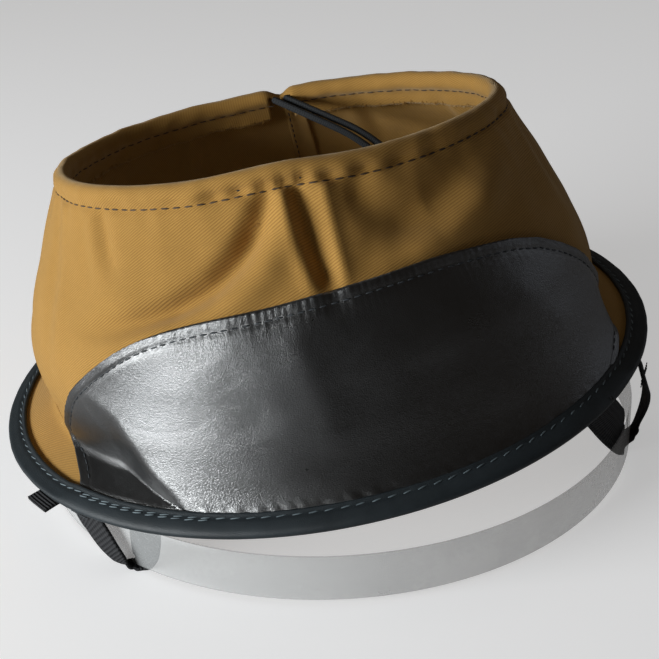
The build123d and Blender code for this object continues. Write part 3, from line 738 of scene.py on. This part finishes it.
crown_rows, crown_length = measured_line(CROWN_LINE, 400)
rim_row = max(range(400), key=lambda i: crown_rows[i][0])
RIM_SHARE = rim_row / 399
HEM_SHARE = 1 - 7.0 / crown_length
INSIDE_SEWN_SHARE = 1 - 7.4 / crown_length
NOTCH_ANGLE = 3.2


def around(u):
    return -180 + 360 * u


def from_back(angle):
    """Degrees from the back seam."""
    return 180 - abs(angle)


def drawn_up(angle):
    """How far the cord pulls the neck up at the front."""
    return 2.3 * bump_of(angle - 1.0, 15.0)


def crown_place(u, v):
    angle = around(u)
    level, out = crown_rows[min(int(v * 399 + 0.5), 399)]
    outside = v <= RIM_SHARE
    back = from_back(angle)
    if outside:
        sewn = ease(SEWN_LEVEL - 1.8, SEWN_LEVEL + 1.2, level)
        push = cloth_out(angle, level) * (1 - sewn) + slump(angle, level) * 0.5 * sewn
        if level > SEWN_LEVEL - 2:
            for centre, depth, width in POCKETS:
                if abs(angle - centre) < 9:
                    dimple = bump_of((angle - centre) * 1.3, width) * bump_of(level - SEWN_LEVEL - 1.7, 1.6)
                    push -= 1.15 * depth * dimple
        level -= 4.5 * bump_of(back, 2.6) * ease(93, 102, level)
        level += 0.35 * noise.noise((angle * 0.12, 0, 0)) * ease(93, 102, level)
        push += 0.35 * noise.noise((angle * 0.25, level * 0.2, 4))* ease(91, 94, level)
    else:
        inside = ease(RIM_SHARE, HEM_SHARE, v)
        push = slump(angle, min(level, SEWN_LEVEL)) * 0.5
        push -= 0.5 * noise.noise((angle * 0.2, level * 0.2, 9))
        if v > INSIDE_SEWN_SHARE:
            hem = (v - INSIDE_SEWN_SHARE) / (1 - INSIDE_SEWN_SHARE)
            push -= hem * (1.1 + 1.3 * noise.noise((angle * 0.11, 0, 7)))
            level += hem * (1.1 * noise.noise((angle * 0.35, 0, 1)) + 0.7 * noise.noise((angle * 1.6, 0, 2)))
        level -= 4.5 * bump_of(back, 2.6) * (1 - inside) * ease(93, 102, level)
    return skin(angle, level - FOLD_Z, out + push) + HOOD_UP * drawn_up(angle) * ease(82, 96, level)


def crown_keep(u, v):
    """The casing is open at the back seam, where the cord comes out."""
    return not (v > RIM_SHARE + 0.02 and from_back(around(u)) < NOTCH_ANGLE)


crown_round = 2 * pi * sqrt((117.0**2 + 108.5**2) / 2)
crown = cloth_grid("crown_cloth", CROWN_COLUMNS, CROWN_ROWS, (crown_round * MM, crown_length * MM), crown_place,
                   twill, closed=True, thick=CLOTH, keep=crown_keep, curl=0.30)
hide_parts("twill_crown")
print("crown strip", round(crown_round), "by", round(crown_length), "mm")



# %% Back seam's lap, inside the crown
def lap_place(u, v):
    angle = 180.0 - 0.5 - 5.6 * u
    level = 12.0 + 79.5 * v
    lifted = 0.9 * ease(0.55, 1.0, u) * (1 + 0.8 * noise.noise((v * 6, 0, 3)))
    return skin(angle, level - FOLD_Z, -1.25 - lifted + cloth_out(angle, level))


seam_lap = cloth_grid("seam_lap", 10, 90, (0.009, 0.080), lap_place, twill, thick=CLOTH)
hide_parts("twill_crown")


# %% Loose fibres of the raw hem
def fray():
    bm = bmesh.new()
    for _ in range(620):
        angle = random.uniform(-176.0, 176.0)
        root = crown_place((angle + 180) / 360, random.uniform(0.985, 0.999))
        inward = skin(angle, 70, -1.0) - skin(angle, 70, 0.0)
        drop = Vector((random.uniform(-0.5, 0.5), random.uniform(-0.5, 0.5), -random.uniform(0.6, 1.9))) * MM
        tip = root + drop + inward * random.uniform(0.0, 0.7)
        along = (tip - root).normalized()
        turn = along.to_track_quat("Z", "Y").to_matrix().to_4x4()
        bmesh.ops.create_cone(bm, cap_ends=True, segments=4, radius1=0.11 * MM, radius2=0.04 * MM,
                              depth=(tip - root).length, matrix=Matrix.Translation((root + tip) / 2) @ turn)
    piece = finish_piece(bm, "hem_fibres", twill)
    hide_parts("twill_crown")
    return piece


hem_fibres = fray()

# %% Brim cloth


def brim_place(u, v):
    angle = around(u)
    s = -BRIM_RUN + 0.3 + v * (BRIM_RUN + 1.2)
    wave = 0.5 * noise.noise((sin(radians(angle)) * 3, cos(radians(angle)) * 3, 1.0)) * ease(-BRIM_RUN, -8, s)
    return skin(angle, s, wave - 0.05)


brim = cloth_grid("brim_cloth", 300, 22, (crown_round * MM, BRIM_RUN * MM), brim_place, twill, closed=True,
                  thick=CLOTH)
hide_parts("twill_brim")

# %% [markdown]
# ## The leather front
# Leather is one smooth sheet with a bound lower edge, two sides that swing in to the binding, and a long top
# edge. The grid's left and right sides and its top follow the outline, and the inside is blended between them.

# %% Leather
LEFT_SIDE = (       # s, angle
    (-21.0, -46.0), (-14.0, -49.0), (-9.0, -53.0), (-3.0, -58.5), (4.0, -60.5), (10.0, -59.0), (20.0, -54.5),
    (28.0, -50.5), (37.0, -44.5), (45.7, -37.0),
)
RIGHT_SIDE = (
    (-21.0, 57.0), (-12.0, 66.0), (-5.0, 73.0), (3.0, 76.5), (12.0, 75.5), (24.0, 71.0), (34.2, 66.5), (43.0, 60.5),
    (50.5, 53.5),
)
LEATHER_OUT = 1.8                                   # height of the leather's face above the skin


def leather_point(u, v):
    """(angle, s) for a share across and a share up."""
    top_angle = TOP_SIDE[0][0] + u * (TOP_SIDE[-1][0] - TOP_SIDE[0][0])
    top_s = curve_through(TOP_SIDE, top_angle)[0]
    s = -21.0 + v * (top_s + 21.0)
    left = curve_through(LEFT_SIDE, -21.0 + v * (LEFT_SIDE[-1][0] + 21.0))[0]
    right = curve_through(RIGHT_SIDE, -21.0 + v * (RIGHT_SIDE[-1][0] + 21.0))[0]
    return left + u * (right - left), s


def leather_edge_distance(angle, s):
    """Distance in mm from the outline's sides and top, roughly."""
    best = 1e9
    for line in LEATHER_OUTLINE:
        best = min(best, abs(line_distance(angle, s, line)[0]))
    return best


side_line = [leather_point(0.0, i / 30) for i in range(31)]
top_line = [leather_point(i / 60, 1.0) for i in range(61)]
other_line = [leather_point(1.0, 1 - i / 30) for i in range(31)]
LEATHER_OUTLINE = (side_line + top_line[1:] + other_line[1:],)


BULGE_EDGE = (      # angle, s: where the full bulge ends and the hollow at the left begins
    (-56.0, 36.0), (-48.0, 26.0), (-40.5, 18.0), (-36.5, 8.0), (-33.0, -2.0), (-28.0, -12.0), (-24.0, -21.0),
)


LEATHER_FOLDS = (   # line of (angle, s), height, width
    (((-38.0, 25.0), (-34.0, 20.0), (-28.0, 18.5), (-22.0, 21.0), (-18.0, 26.0)), -0.05, 0.8),
    (((-22.0, 8.0), (-16.0, 4.0), (-10.0, -2.0), (-7.0, -7.0)), -0.05, 0.8),
    (((-3.0, 52.0), (0.0, 38.0), (2.0, 20.0), (1.0, 4.0)), 0.5, 6.0),
    (((-16.0, 44.0), (-12.0, 30.0), (-9.0, 16.0)), -0.4, 8.0),
    (((40.0, 46.0), (46.0, 30.0), (54.0, 14.0)), 0.5, 7.0),
)


def leather_folds(angle, s):
    push = 0.0
    for line, height, width in LEATHER_FOLDS:
        d, share = line_distance(angle, s, line)
        push += height * bump_of(d, width) * min(1.0, 4 * share + 0.1, 4 * (1 - share) + 0.1)
    gather = bump_of(s + 14.5, 3.0) * ease(-45.0, -30.0, angle) * ease(62.0, 40.0, angle)
    return push + gather * (0.45 * noise.noise((angle * 0.8 + s * 0.12, s * 0.1, 3.0)))


def bridged(angle, s):
    """How far the stiff leather bridges the fold: not at all left of the bulge's edge, fully right of it."""
    beside, _ = line_distance(angle, s, BULGE_EDGE)
    return ease(-12.0, 7.0, beside) * ease(80.0, 66.0, angle)


def leather_out(angle, s):
    edge = leather_edge_distance(angle, s)
    near_edge = bump_of(edge, 6.0)
    push = LEATHER_OUT
    push += (cloth_out(angle, s + FOLD_Z) * 0.9 + 0.35) * (0.12 + 0.88 * bump_of(edge, 9.0)) * ease(0, 15, s)
    push -= 0.45 * bump_of(edge - 3.5, 0.9)
    wander = noise.noise((angle * 0.3, s * 0.1, 5.0))
    push += 0.10 * sin(angle * DEGREE * 2.6 + 2.2 * wander) * near_edge * ease(10, 30, s)
    push += 0.2 * noise.noise((angle * 1.1, s * 0.16, 2.0)) * near_edge
    push += 0.20 * noise.noise((angle * 0.09, s * 0.06, 8.0))
    push += 0.8 * bridged(angle, s) * bump_of(s - 14.0, 16.0)
    push += leather_folds(angle, s)
    push = max(push, cloth_out(angle, s + FOLD_Z) + 1.35 if s > 0 else 1.45)
    under_tape = ease(-15.0, -17.6, s)
    return push * (1 - under_tape) + 1.2 * under_tape


def leather_place(u, v):
    angle, s = leather_point(u, v)
    return skin(angle, s, leather_out(angle, s), bridged(angle, s))


leather_piece = cloth_grid("leather_sheet", 240, 92, (0.225, 0.088), leather_place, leather, thick=LEATHER)
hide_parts("leather_front")

# %% [markdown]
# ## The binding
# A tape folded over the brim's edge, sewn through. Its section is an open line from the lip on top, round the
# nose, to the lip below; over the leather the top lip lies higher by the leather's thickness.

# %% Binding
BINDING_LINE = (    # out past the cloth's edge, height over the edge's own level
    (-4.6, 3.7), (-4.5, 4.5), (-3.7, 4.75), (-2.8, 4.1), (-2.1, 3.7), (-1.4, 3.7), (-0.3, 3.5), (1.0, 2.95),
    (2.3, 2.2), (3.3, 1.3), (3.8, 0.2), (3.4, -0.95), (2.2, -1.95), (0.5, -2.5), (-1.4, -2.0), (-3.0, -1.2),
    (-4.2, -0.4),
)
binding_rows, binding_width = measured_line(BINDING_LINE, 200)


def leather_under(angle):
    return ease(-51.0, -47.0, angle) * ease(60.5, 56.5, angle)


def edge_at(angle, out, height):
    spot = brim_spot(angle, out)
    return HOOD @ Vector((spot.x, spot.y, height)) * MM


def binding_place(u, v):
    angle = around(u)
    out, height = binding_rows[min(int(v * 199 + 0.5), 199)]
    height -= (1 - leather_under(angle)) * 1.1 * ease(0.5, 3.5, height)
    ripple = noise.noise((angle * 0.45, v * 3, 1.0)) * 0.22 + noise.noise((angle * 0.08, 0, 3.0)) * 0.5
    tuck = 0.12 * sin(radians(angle) * 150) * bump_of(out + 2.2, 1.5)
    return edge_at(angle, out + 0.4 * ripple, height + 0.5 * ripple * bump_of(out, 6.0) + tuck)


binding = cloth_grid("binding_tape", 420, 36, (0.85, binding_width * MM), binding_place, binding_tape, closed=True,
                     thick=0.9, offset=1.0)
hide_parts("brim_binding")

# %% [markdown]
# ## Stitches
# Hundreds of stitches have to stay light, so each is a ball of a few faces, stretched along the seam. They are
# all made in one bmesh per thread: create_uvsphere takes a matrix, which places, turns and stretches it.


# %% Stitches
LAID_DOWN = Matrix.Rotation(pi / 2, 4, "Y")


def sew(name, places, material, nodes, pitch, length, radius, lean=0.0, body="root"):
    """Stitches along places, a list of lists of (spot, outward normal) in metres, spaced by pitch in mm."""
    bm = bmesh.new()
    made = 0
    for run in places:
        gap = 0.0
        for (a, up), (b, _) in zip(run, run[1:]):
            step = (b - a).length
            while gap < step:
                along = (b - a).normalized()
                along = (along + up.cross(along) * (lean + random.uniform(-0.05, 0.05))).normalized()
                side = up.cross(along).normalized()
                turn = Matrix((along, side, along.cross(side))).transposed().to_4x4()
                size = Matrix.Diagonal((length * MM / 2, radius * MM, radius * MM * 0.8, 1))
                spot = a.lerp(b, gap / step)
                bmesh.ops.create_uvsphere(bm, u_segments=6, v_segments=5, radius=1.0,
                                          matrix=Matrix.Translation(spot) @ turn @ size @ LAID_DOWN)
                made += 1
                gap += pitch * MM * random.uniform(0.94, 1.06)
            gap -= step
    piece = finish_piece(bm, name, material, body)
    for node in nodes:
        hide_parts(node)
    print(name, made, "stitches")
    return piece


def with_normals(function, angles):
    """Runs a function of (angle, lift) along angles and adds the outward normal."""
    spots = []
    for angle in angles:
        low, high = function(angle, 0.0), function(angle, 1.0)
        spots.append((low, (high - low).normalized()))
    return spots


def crown_surface(share):
    def spot(angle, lift):
        u = (angle + 180) / 360
        here = crown_place(u, share)
        outward = skin(angle, crown_rows[int(share * 399)][0] - FOLD_Z, 1.0) - skin(
            angle, crown_rows[int(share * 399)][0] - FOLD_Z, 0.0)
        sign = 1.0 if share < RIM_SHARE else -1.0
        return here + outward * sign * (0.12 + lift)
    return spot


outside_share = min(range(rim_row), key=lambda i: abs(crown_rows[i][0] - SEWN_LEVEL)) / 399
angles_round = [a * 0.5 for a in range(-354, 355)]
sew("casing_stitches",
    [with_normals(crown_surface(share), angles_round) for share in (outside_share, INSIDE_SEWN_SHARE)],
    brown_thread, ["casing_thread"], 4.6, 3.3, 0.36)


def seam_run(angle, lift):
    """The back seam's stitches: lift in mm off the skin, negative inside."""
    spots = []
    for i in range(60):
        level = 14 + i * (75.0 / 59)
        outward = skin(angle, level - FOLD_Z, 1.0) - skin(angle, level - FOLD_Z, 0.0)
        spot = skin(angle, level - FOLD_Z, lift + cloth_out(angle, level))
        spots.append((spot, outward.normalized() * (1 if lift > 0 else -1)))
    return spots


sew("seam_stitches", [seam_run(180.0, 0.15), seam_run(176.0, 0.15), seam_run(178.6, -2.25)],
    brown_thread, ["back_seam_thread"], 4.2, 3.0, 0.34)


def inset_outline(inset):
    """The leather's outline moved inwards, as (angle, s)."""
    line = LEATHER_OUTLINE[0]
    moved = []
    for i in range(1, len(line) - 1):
        tx = (line[i + 1][0] - line[i - 1][0]) * DEGREE
        ty = line[i + 1][1] - line[i - 1][1]
        size = hypot(tx, ty)
        moved.append((line[i][0] + ty / size * inset / DEGREE, line[i][1] - tx / size * inset))
    return [p for p in moved if p[1] > -13.5]


def leather_run(inset):
    spots = []
    for angle, s in inset_outline(inset):
        out = leather_out(angle, s)
        span = bridged(angle, s)
        here, above = skin(angle, s, out + 0.10, span), skin(angle, s, out + 1.0, span)
        spots.append((here, (above - here).normalized()))
    return spots


sew("leather_stitches", [leather_run(3.5)], black_thread, ["leather_thread"], 4.0, 2.9, 0.34)


def binding_surface(out, extra):
    def spot(angle, lift):
        height = 4.5 + extra - (1 - leather_under(angle)) * 1.1
        return edge_at(angle, out, height + lift)
    return spot


overlap = [-44.5 + i * 0.5 for i in range(52)]
sew("binding_stitches",
    [with_normals(binding_surface(-2.2, -0.7), [a * 0.5 for a in range(-360, 360)]),
     with_normals(binding_surface(-1.0, -0.8), overlap)],
    grey_thread, ["binding_thread"], 5.5, 3.9, 0.36, lean=0.22)

# %% [markdown]
# ## The clear band
# A strip bent into a ring. Its small section is drawn once and spun, with the ends lapped at the rear.

# %% Clear band
hinge = next(j for j in frame["joints"] if j["name"] == "band_turn")
BAND_AXIS = Vector(hinge["axis"]).normalized()
BAND_CENTRE = Vector(hinge["pos_m"])
BAND_RADIUS, BAND_WALL, BAND_TALL, BAND_LAP = 126.9, 0.8, 18.8, 16.0
BAND = Matrix.Translation(BAND_CENTRE) @ Vector((0, 0, 1)).rotation_difference(BAND_AXIS).to_matrix().to_4x4()


def spun_strip(bm, radius, start, sweep, steps, closed):
    """A strip's section, a tall rectangle with softened corners, spun about the band's axis."""
    soft = 0.18
    section = [
        (0, soft), (soft, 0), (BAND_WALL - soft, 0), (BAND_WALL, soft), (BAND_WALL, BAND_TALL / 2),
        (BAND_WALL, BAND_TALL - soft), (BAND_WALL - soft, BAND_TALL), (soft, BAND_TALL), (0, BAND_TALL - soft),
        (0, BAND_TALL / 2),
    ]
    turn = Matrix.Rotation(radians(start), 4, "Z")
    verts = [bm.verts.new(turn @ Vector((0, -(radius - BAND_WALL + x) * MM, z * MM))) for x, z in section]
    edges = [bm.edges.new((verts[i], verts[(i + 1) % len(verts)])) for i in range(len(verts))]
    if not closed:
        bm.faces.new(verts)
    spun = bmesh.ops.spin(bm, geom=verts + edges, cent=(0, 0, 0), axis=(0, 0, 1), angle=radians(sweep), steps=steps,
                          use_merge=closed)
    if not closed:
        last = [g for g in spun["geom_last"] if isinstance(g, bmesh.types.BMVert)]
        bmesh.ops.contextual_create(bm, geom=last)


bm = bmesh.new()
spun_strip(bm, BAND_RADIUS, 0, 360, 288, True)
spun_strip(bm, BAND_RADIUS + BAND_WALL + 0.02, 180 - BAND_LAP / 2, BAND_LAP, 14, False)
bmesh.ops.remove_doubles(bm, verts=bm.verts, dist=1e-7)
bmesh.ops.recalc_face_normals(bm, faces=bm.faces)
bmesh.ops.transform(bm, matrix=BAND, verts=bm.verts)
band = finish_piece(bm, "band_ring", clear_plastic, "band")
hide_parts("clear_band")

# %% [markdown]
# ## Elastic loops
# A strap is a centre line with a width across it, and it can twist on its way. A grid is laid along the line.

# %% Elastic loops
STRAP_WIDTH = 15.0


def band_spot(angle, radius, z):
    turn = radians(angle)
    return Vector((BAND_CENTRE.x / MM + radius * sin(turn), BAND_CENTRE.y / MM - radius * cos(turn), z))


def strap(name, stations, node, pinch=0.0, width=STRAP_WIDTH):
    """stations: angle, radius, height, angle that the width faces, twist in degrees.

    A pinch is the share of its width that the strap loses where it turns under the band.
    """
    rows = []
    for i, (angle, radius, z, facing, twist) in enumerate(stations):
        rows.append((float(i), *band_spot(angle, radius, z), facing, twist))
    last = len(stations) - 1

    def centre(t):
        x, y, z, facing, twist = curve_through(rows, t)
        return Vector((x, y, z)), facing, twist

    lowest = min(range(len(rows)), key=lambda i: rows[i][3])
    length = sum((centre((i + 1) / 50 * last)[0] - centre(i / 50 * last)[0]).length for i in range(50))

    def place(u, v):
        t = u * last
        spot, facing, twist = centre(t)
        ahead = (centre(min(t + 0.05, last))[0] - centre(max(t - 0.05, 0))[0]).normalized()
        across = Vector((cos(radians(facing)), sin(radians(facing)), 0))
        across = (across - ahead * across.dot(ahead)).normalized()
        across = Matrix.Rotation(radians(twist), 3, ahead) @ across
        spot += across * (v - 0.5) * width * (1 - pinch * bump_of(t - lowest, 1.6))
        spot.z = max(spot.z, 0.7)
        return spot * MM

    piece = cloth_grid(name, 90, 12, (length * MM, width * MM), place, elastic, thick=1.2, offset=0.0)
    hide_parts(node)
    print(name, round(length), "mm long")
    return piece, length


left_strap, left_length = strap("left_strap", (
    (-37.0, 124.2, 26.6, -37, 0), (-37.4, 124.4, 19, -37, 0), (-38.2, 124.5, 8, -38, 0), (-39.4, 125.2, 2.2, -39, 0),
    (-40.4, 127.0, 1.3, -40, 0), (-41.4, 129.2, 2.4, -41, 0), (-43.8, 130.6, 8, -44, 0), (-47.2, 131.2, 16, -47, 0),
    (-50.8, 131.4, 22.0, -51, 0),
), "left_loop", pinch=0.62)
right_strap, right_length = strap("right_strap", (
    (49.2, 123.6, 47.5, 50, 52), (54.0, 124.0, 37, 56, 42), (61.0, 124.2, 22, 63, 15), (68.0, 124.4, 9, 69, 0),
    (73.5, 125.0, 2.4, 73, 0), (76.0, 127.0, 1.3, 76, 0), (77.5, 129.4, 3.2, 77, 0), (77.0, 131.2, 12, 74, 0),
    (73.5, 131.8, 25, 80, 0), (69.0, 131.6, 37, 82, 0), (64.5, 130.4, 48.0, 80, 0),
), "right_loop", pinch=0.60)

TAB_ANGLE = -54.6


def tab_place(u, v):
    out = -2.4 + 10.2 * u
    angle = TAB_ANGLE + (v - 0.5) * 14.0 / (pi * 133 / 180)
    return edge_at(angle, out, -3.7 - 0.3 * ease(2, 8, out) + 0.15 * noise.noise((u * 3, v * 3, 1)))


tab = cloth_grid("strap_end", 40, 12, (0.0102, 0.014), tab_place, elastic, thick=1.2, offset=0.0)
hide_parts("strap_end_tab")


BAR_TACK_SPOTS = (  # angle, radius, height, angle that the row faces
    (-37.1, 124.2, 24.2, -37), (-49.9, 131.9, 19.8, -50), (51.0, 123.7, 44.0, 51), (65.5, 131.1, 45.0, 65),
)


def bar_tacks():
    """Short rows of stitches across each strap just under the brim."""
    runs = []
    for angle, radius, height, facing in BAR_TACK_SPOTS:
        outward = Vector((sin(radians(facing)), -cos(radians(facing)), 0))
        across = Vector((cos(radians(facing)), sin(radians(facing)), 0.13))
        for row in (0.0, -1.3, -2.6):
            middle = band_spot(angle, radius, height + row) + outward * 0.75
            runs.append([((middle + across * k) * MM, outward) for k in (-6.0, -3.0, 0.0, 3.0, 6.0)])
    return runs


sew("bar_tacks", bar_tacks(), black_thread, ["loop_bartacks"], 1.5, 1.5, 0.3)

# %% [markdown]
# ## Drawcord tails
# Two free cords leave the notch at the back, cross the opening and drop to the table inside the hood, where a
# cord lock holds them. A cord is a NURBS curve of order 3 through its route's points, with a round bevel.

# %% Tails
LEFT_TAIL = (
    (-13.9, 73.2, 125.6), (2.6, 49.0, 124.0), (23.3, 23.3, 120.3), (39.1, 0.5, 107.6), (47.4, -14.2, 85.6),
    (51.0, -23.6, 61.0), (52.9, -29.6, 38.0), (54.4, -28.4, 19.6), (56.39, -5.37, 11.5), (59.13, 41.13, 11.5),
    (57.6, 61.8, 4.2),
)
RIGHT_TAIL = (
    (-8.7, 73.2, 126.3), (6.4, 52.0, 124.6), (27.2, 26.3, 121.2), (43.2, 3.3, 108.6), (51.6, -11.4, 86.6),
    (55.6, -21.0, 62.0), (57.5, -27.6, 38.8), (58.8, -27.2, 20.2), (60.79, -5.63, 11.5), (63.53, 40.87, 11.5),
    (68.2, 62.2, 4.2),
)
CORD_DIAMETER = 3.0


def cord_curve(name, route):
    curve = bpy.data.curves.new(name, "CURVE")
    curve.dimensions = "3D"
    spline = curve.splines.new("NURBS")
    spline.points.add(len(route) - 1)
    for point, (x, y, z) in zip(spline.points, route):
        point.co = (x * MM, y * MM, z * MM, 1.0)
    spline.order_u = 3
    spline.use_endpoint_u = True
    spline.resolution_u = 14
    curve.bevel_depth = CORD_DIAMETER * MM / 2
    curve.bevel_resolution = 4
    curve.use_fill_caps = True
    curve.materials.append(braid)
    cord = bpy.data.objects.new(name, curve)
    bpy.context.scene.collection.objects.link(cord)
    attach(cord, "root")
    return cord


def tied_knot(name, spot):
    """A tight overhand knot: a trefoil line with the cord's own thickness."""
    curve = bpy.data.curves.new(name, "CURVE")
    curve.dimensions = "3D"
    spline = curve.splines.new("POLY")
    steps = 48
    spline.points.add(steps - 1)
    for i, point in enumerate(spline.points):
        t = 2 * pi * i / steps
        x, y, z = sin(t) + 2 * sin(2 * t), cos(t) - 2 * cos(2 * t), -sin(3 * t)
        point.co = (spot[0] * MM + 0.00075 * z, spot[1] * MM + 0.00075 * x, spot[2] * MM + 0.00075 * y, 1.0)
    spline.use_cyclic_u = True
    curve.bevel_depth = 0.00125
    curve.materials.append(braid)
    knot = bpy.data.objects.new(name, curve)
    bpy.context.scene.collection.objects.link(knot)
    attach(knot, "root")
    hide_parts("tail_knots")
    return knot


for side, route, length in (("left", LEFT_TAIL, 0.279), ("right", RIGHT_TAIL, 0.277)):
    tail = cord_curve(f"{side}_tail_cord", route)
    knot = tied_knot(f"{side}_knot", route[-1])
    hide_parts(f"{side}_tail")

# %% Drawcord, which follows the soft casing
drawcord_data = bpy.data.curves.new("casing_cord", "CURVE")
drawcord_data.dimensions = "3D"
cord_line = drawcord_data.splines.new("POLY")
CORD_STEPS = 200
cord_line.points.add(CORD_STEPS)
for i, point in enumerate(cord_line.points):
    angle = -176.6 + 353.2 * i / CORD_STEPS
    level = 98.0 - 0.4 * bump_of(from_back(angle), 5.0)
    spot = skin(angle, level - FOLD_Z, -3.9 + slump(angle, level) * 0.5) + HOOD_UP * drawn_up(angle)
    point.co = (*spot, 1.0)
drawcord_data.bevel_depth = CORD_DIAMETER * MM / 2
drawcord_data.bevel_resolution = 3
drawcord_data.use_fill_caps = True
drawcord_data.materials.append(braid)
casing_cord = bpy.data.objects.new("casing_cord", drawcord_data)
bpy.context.scene.collection.objects.link(casing_cord)
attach(casing_cord, "root")
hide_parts("drawcord")

# %% [markdown]
# ## What stays as it is
# The brim wire, the rivets and the cord lock keep their exact CAD shape and only get their finish.

# %% Finishes for the frame's own pieces
FINISHES = {
    "brim_wire": steel, "band_rivets": rivet_metal, "lock_barrel": lock_plastic,
    "lock_button": lock_plastic, "lock_spring": steel,
}
for node_name, finish in FINISHES.items():
    node = frame["nodes"][node_name]
    node.data.materials.clear()
    node.data.materials.append(finish)
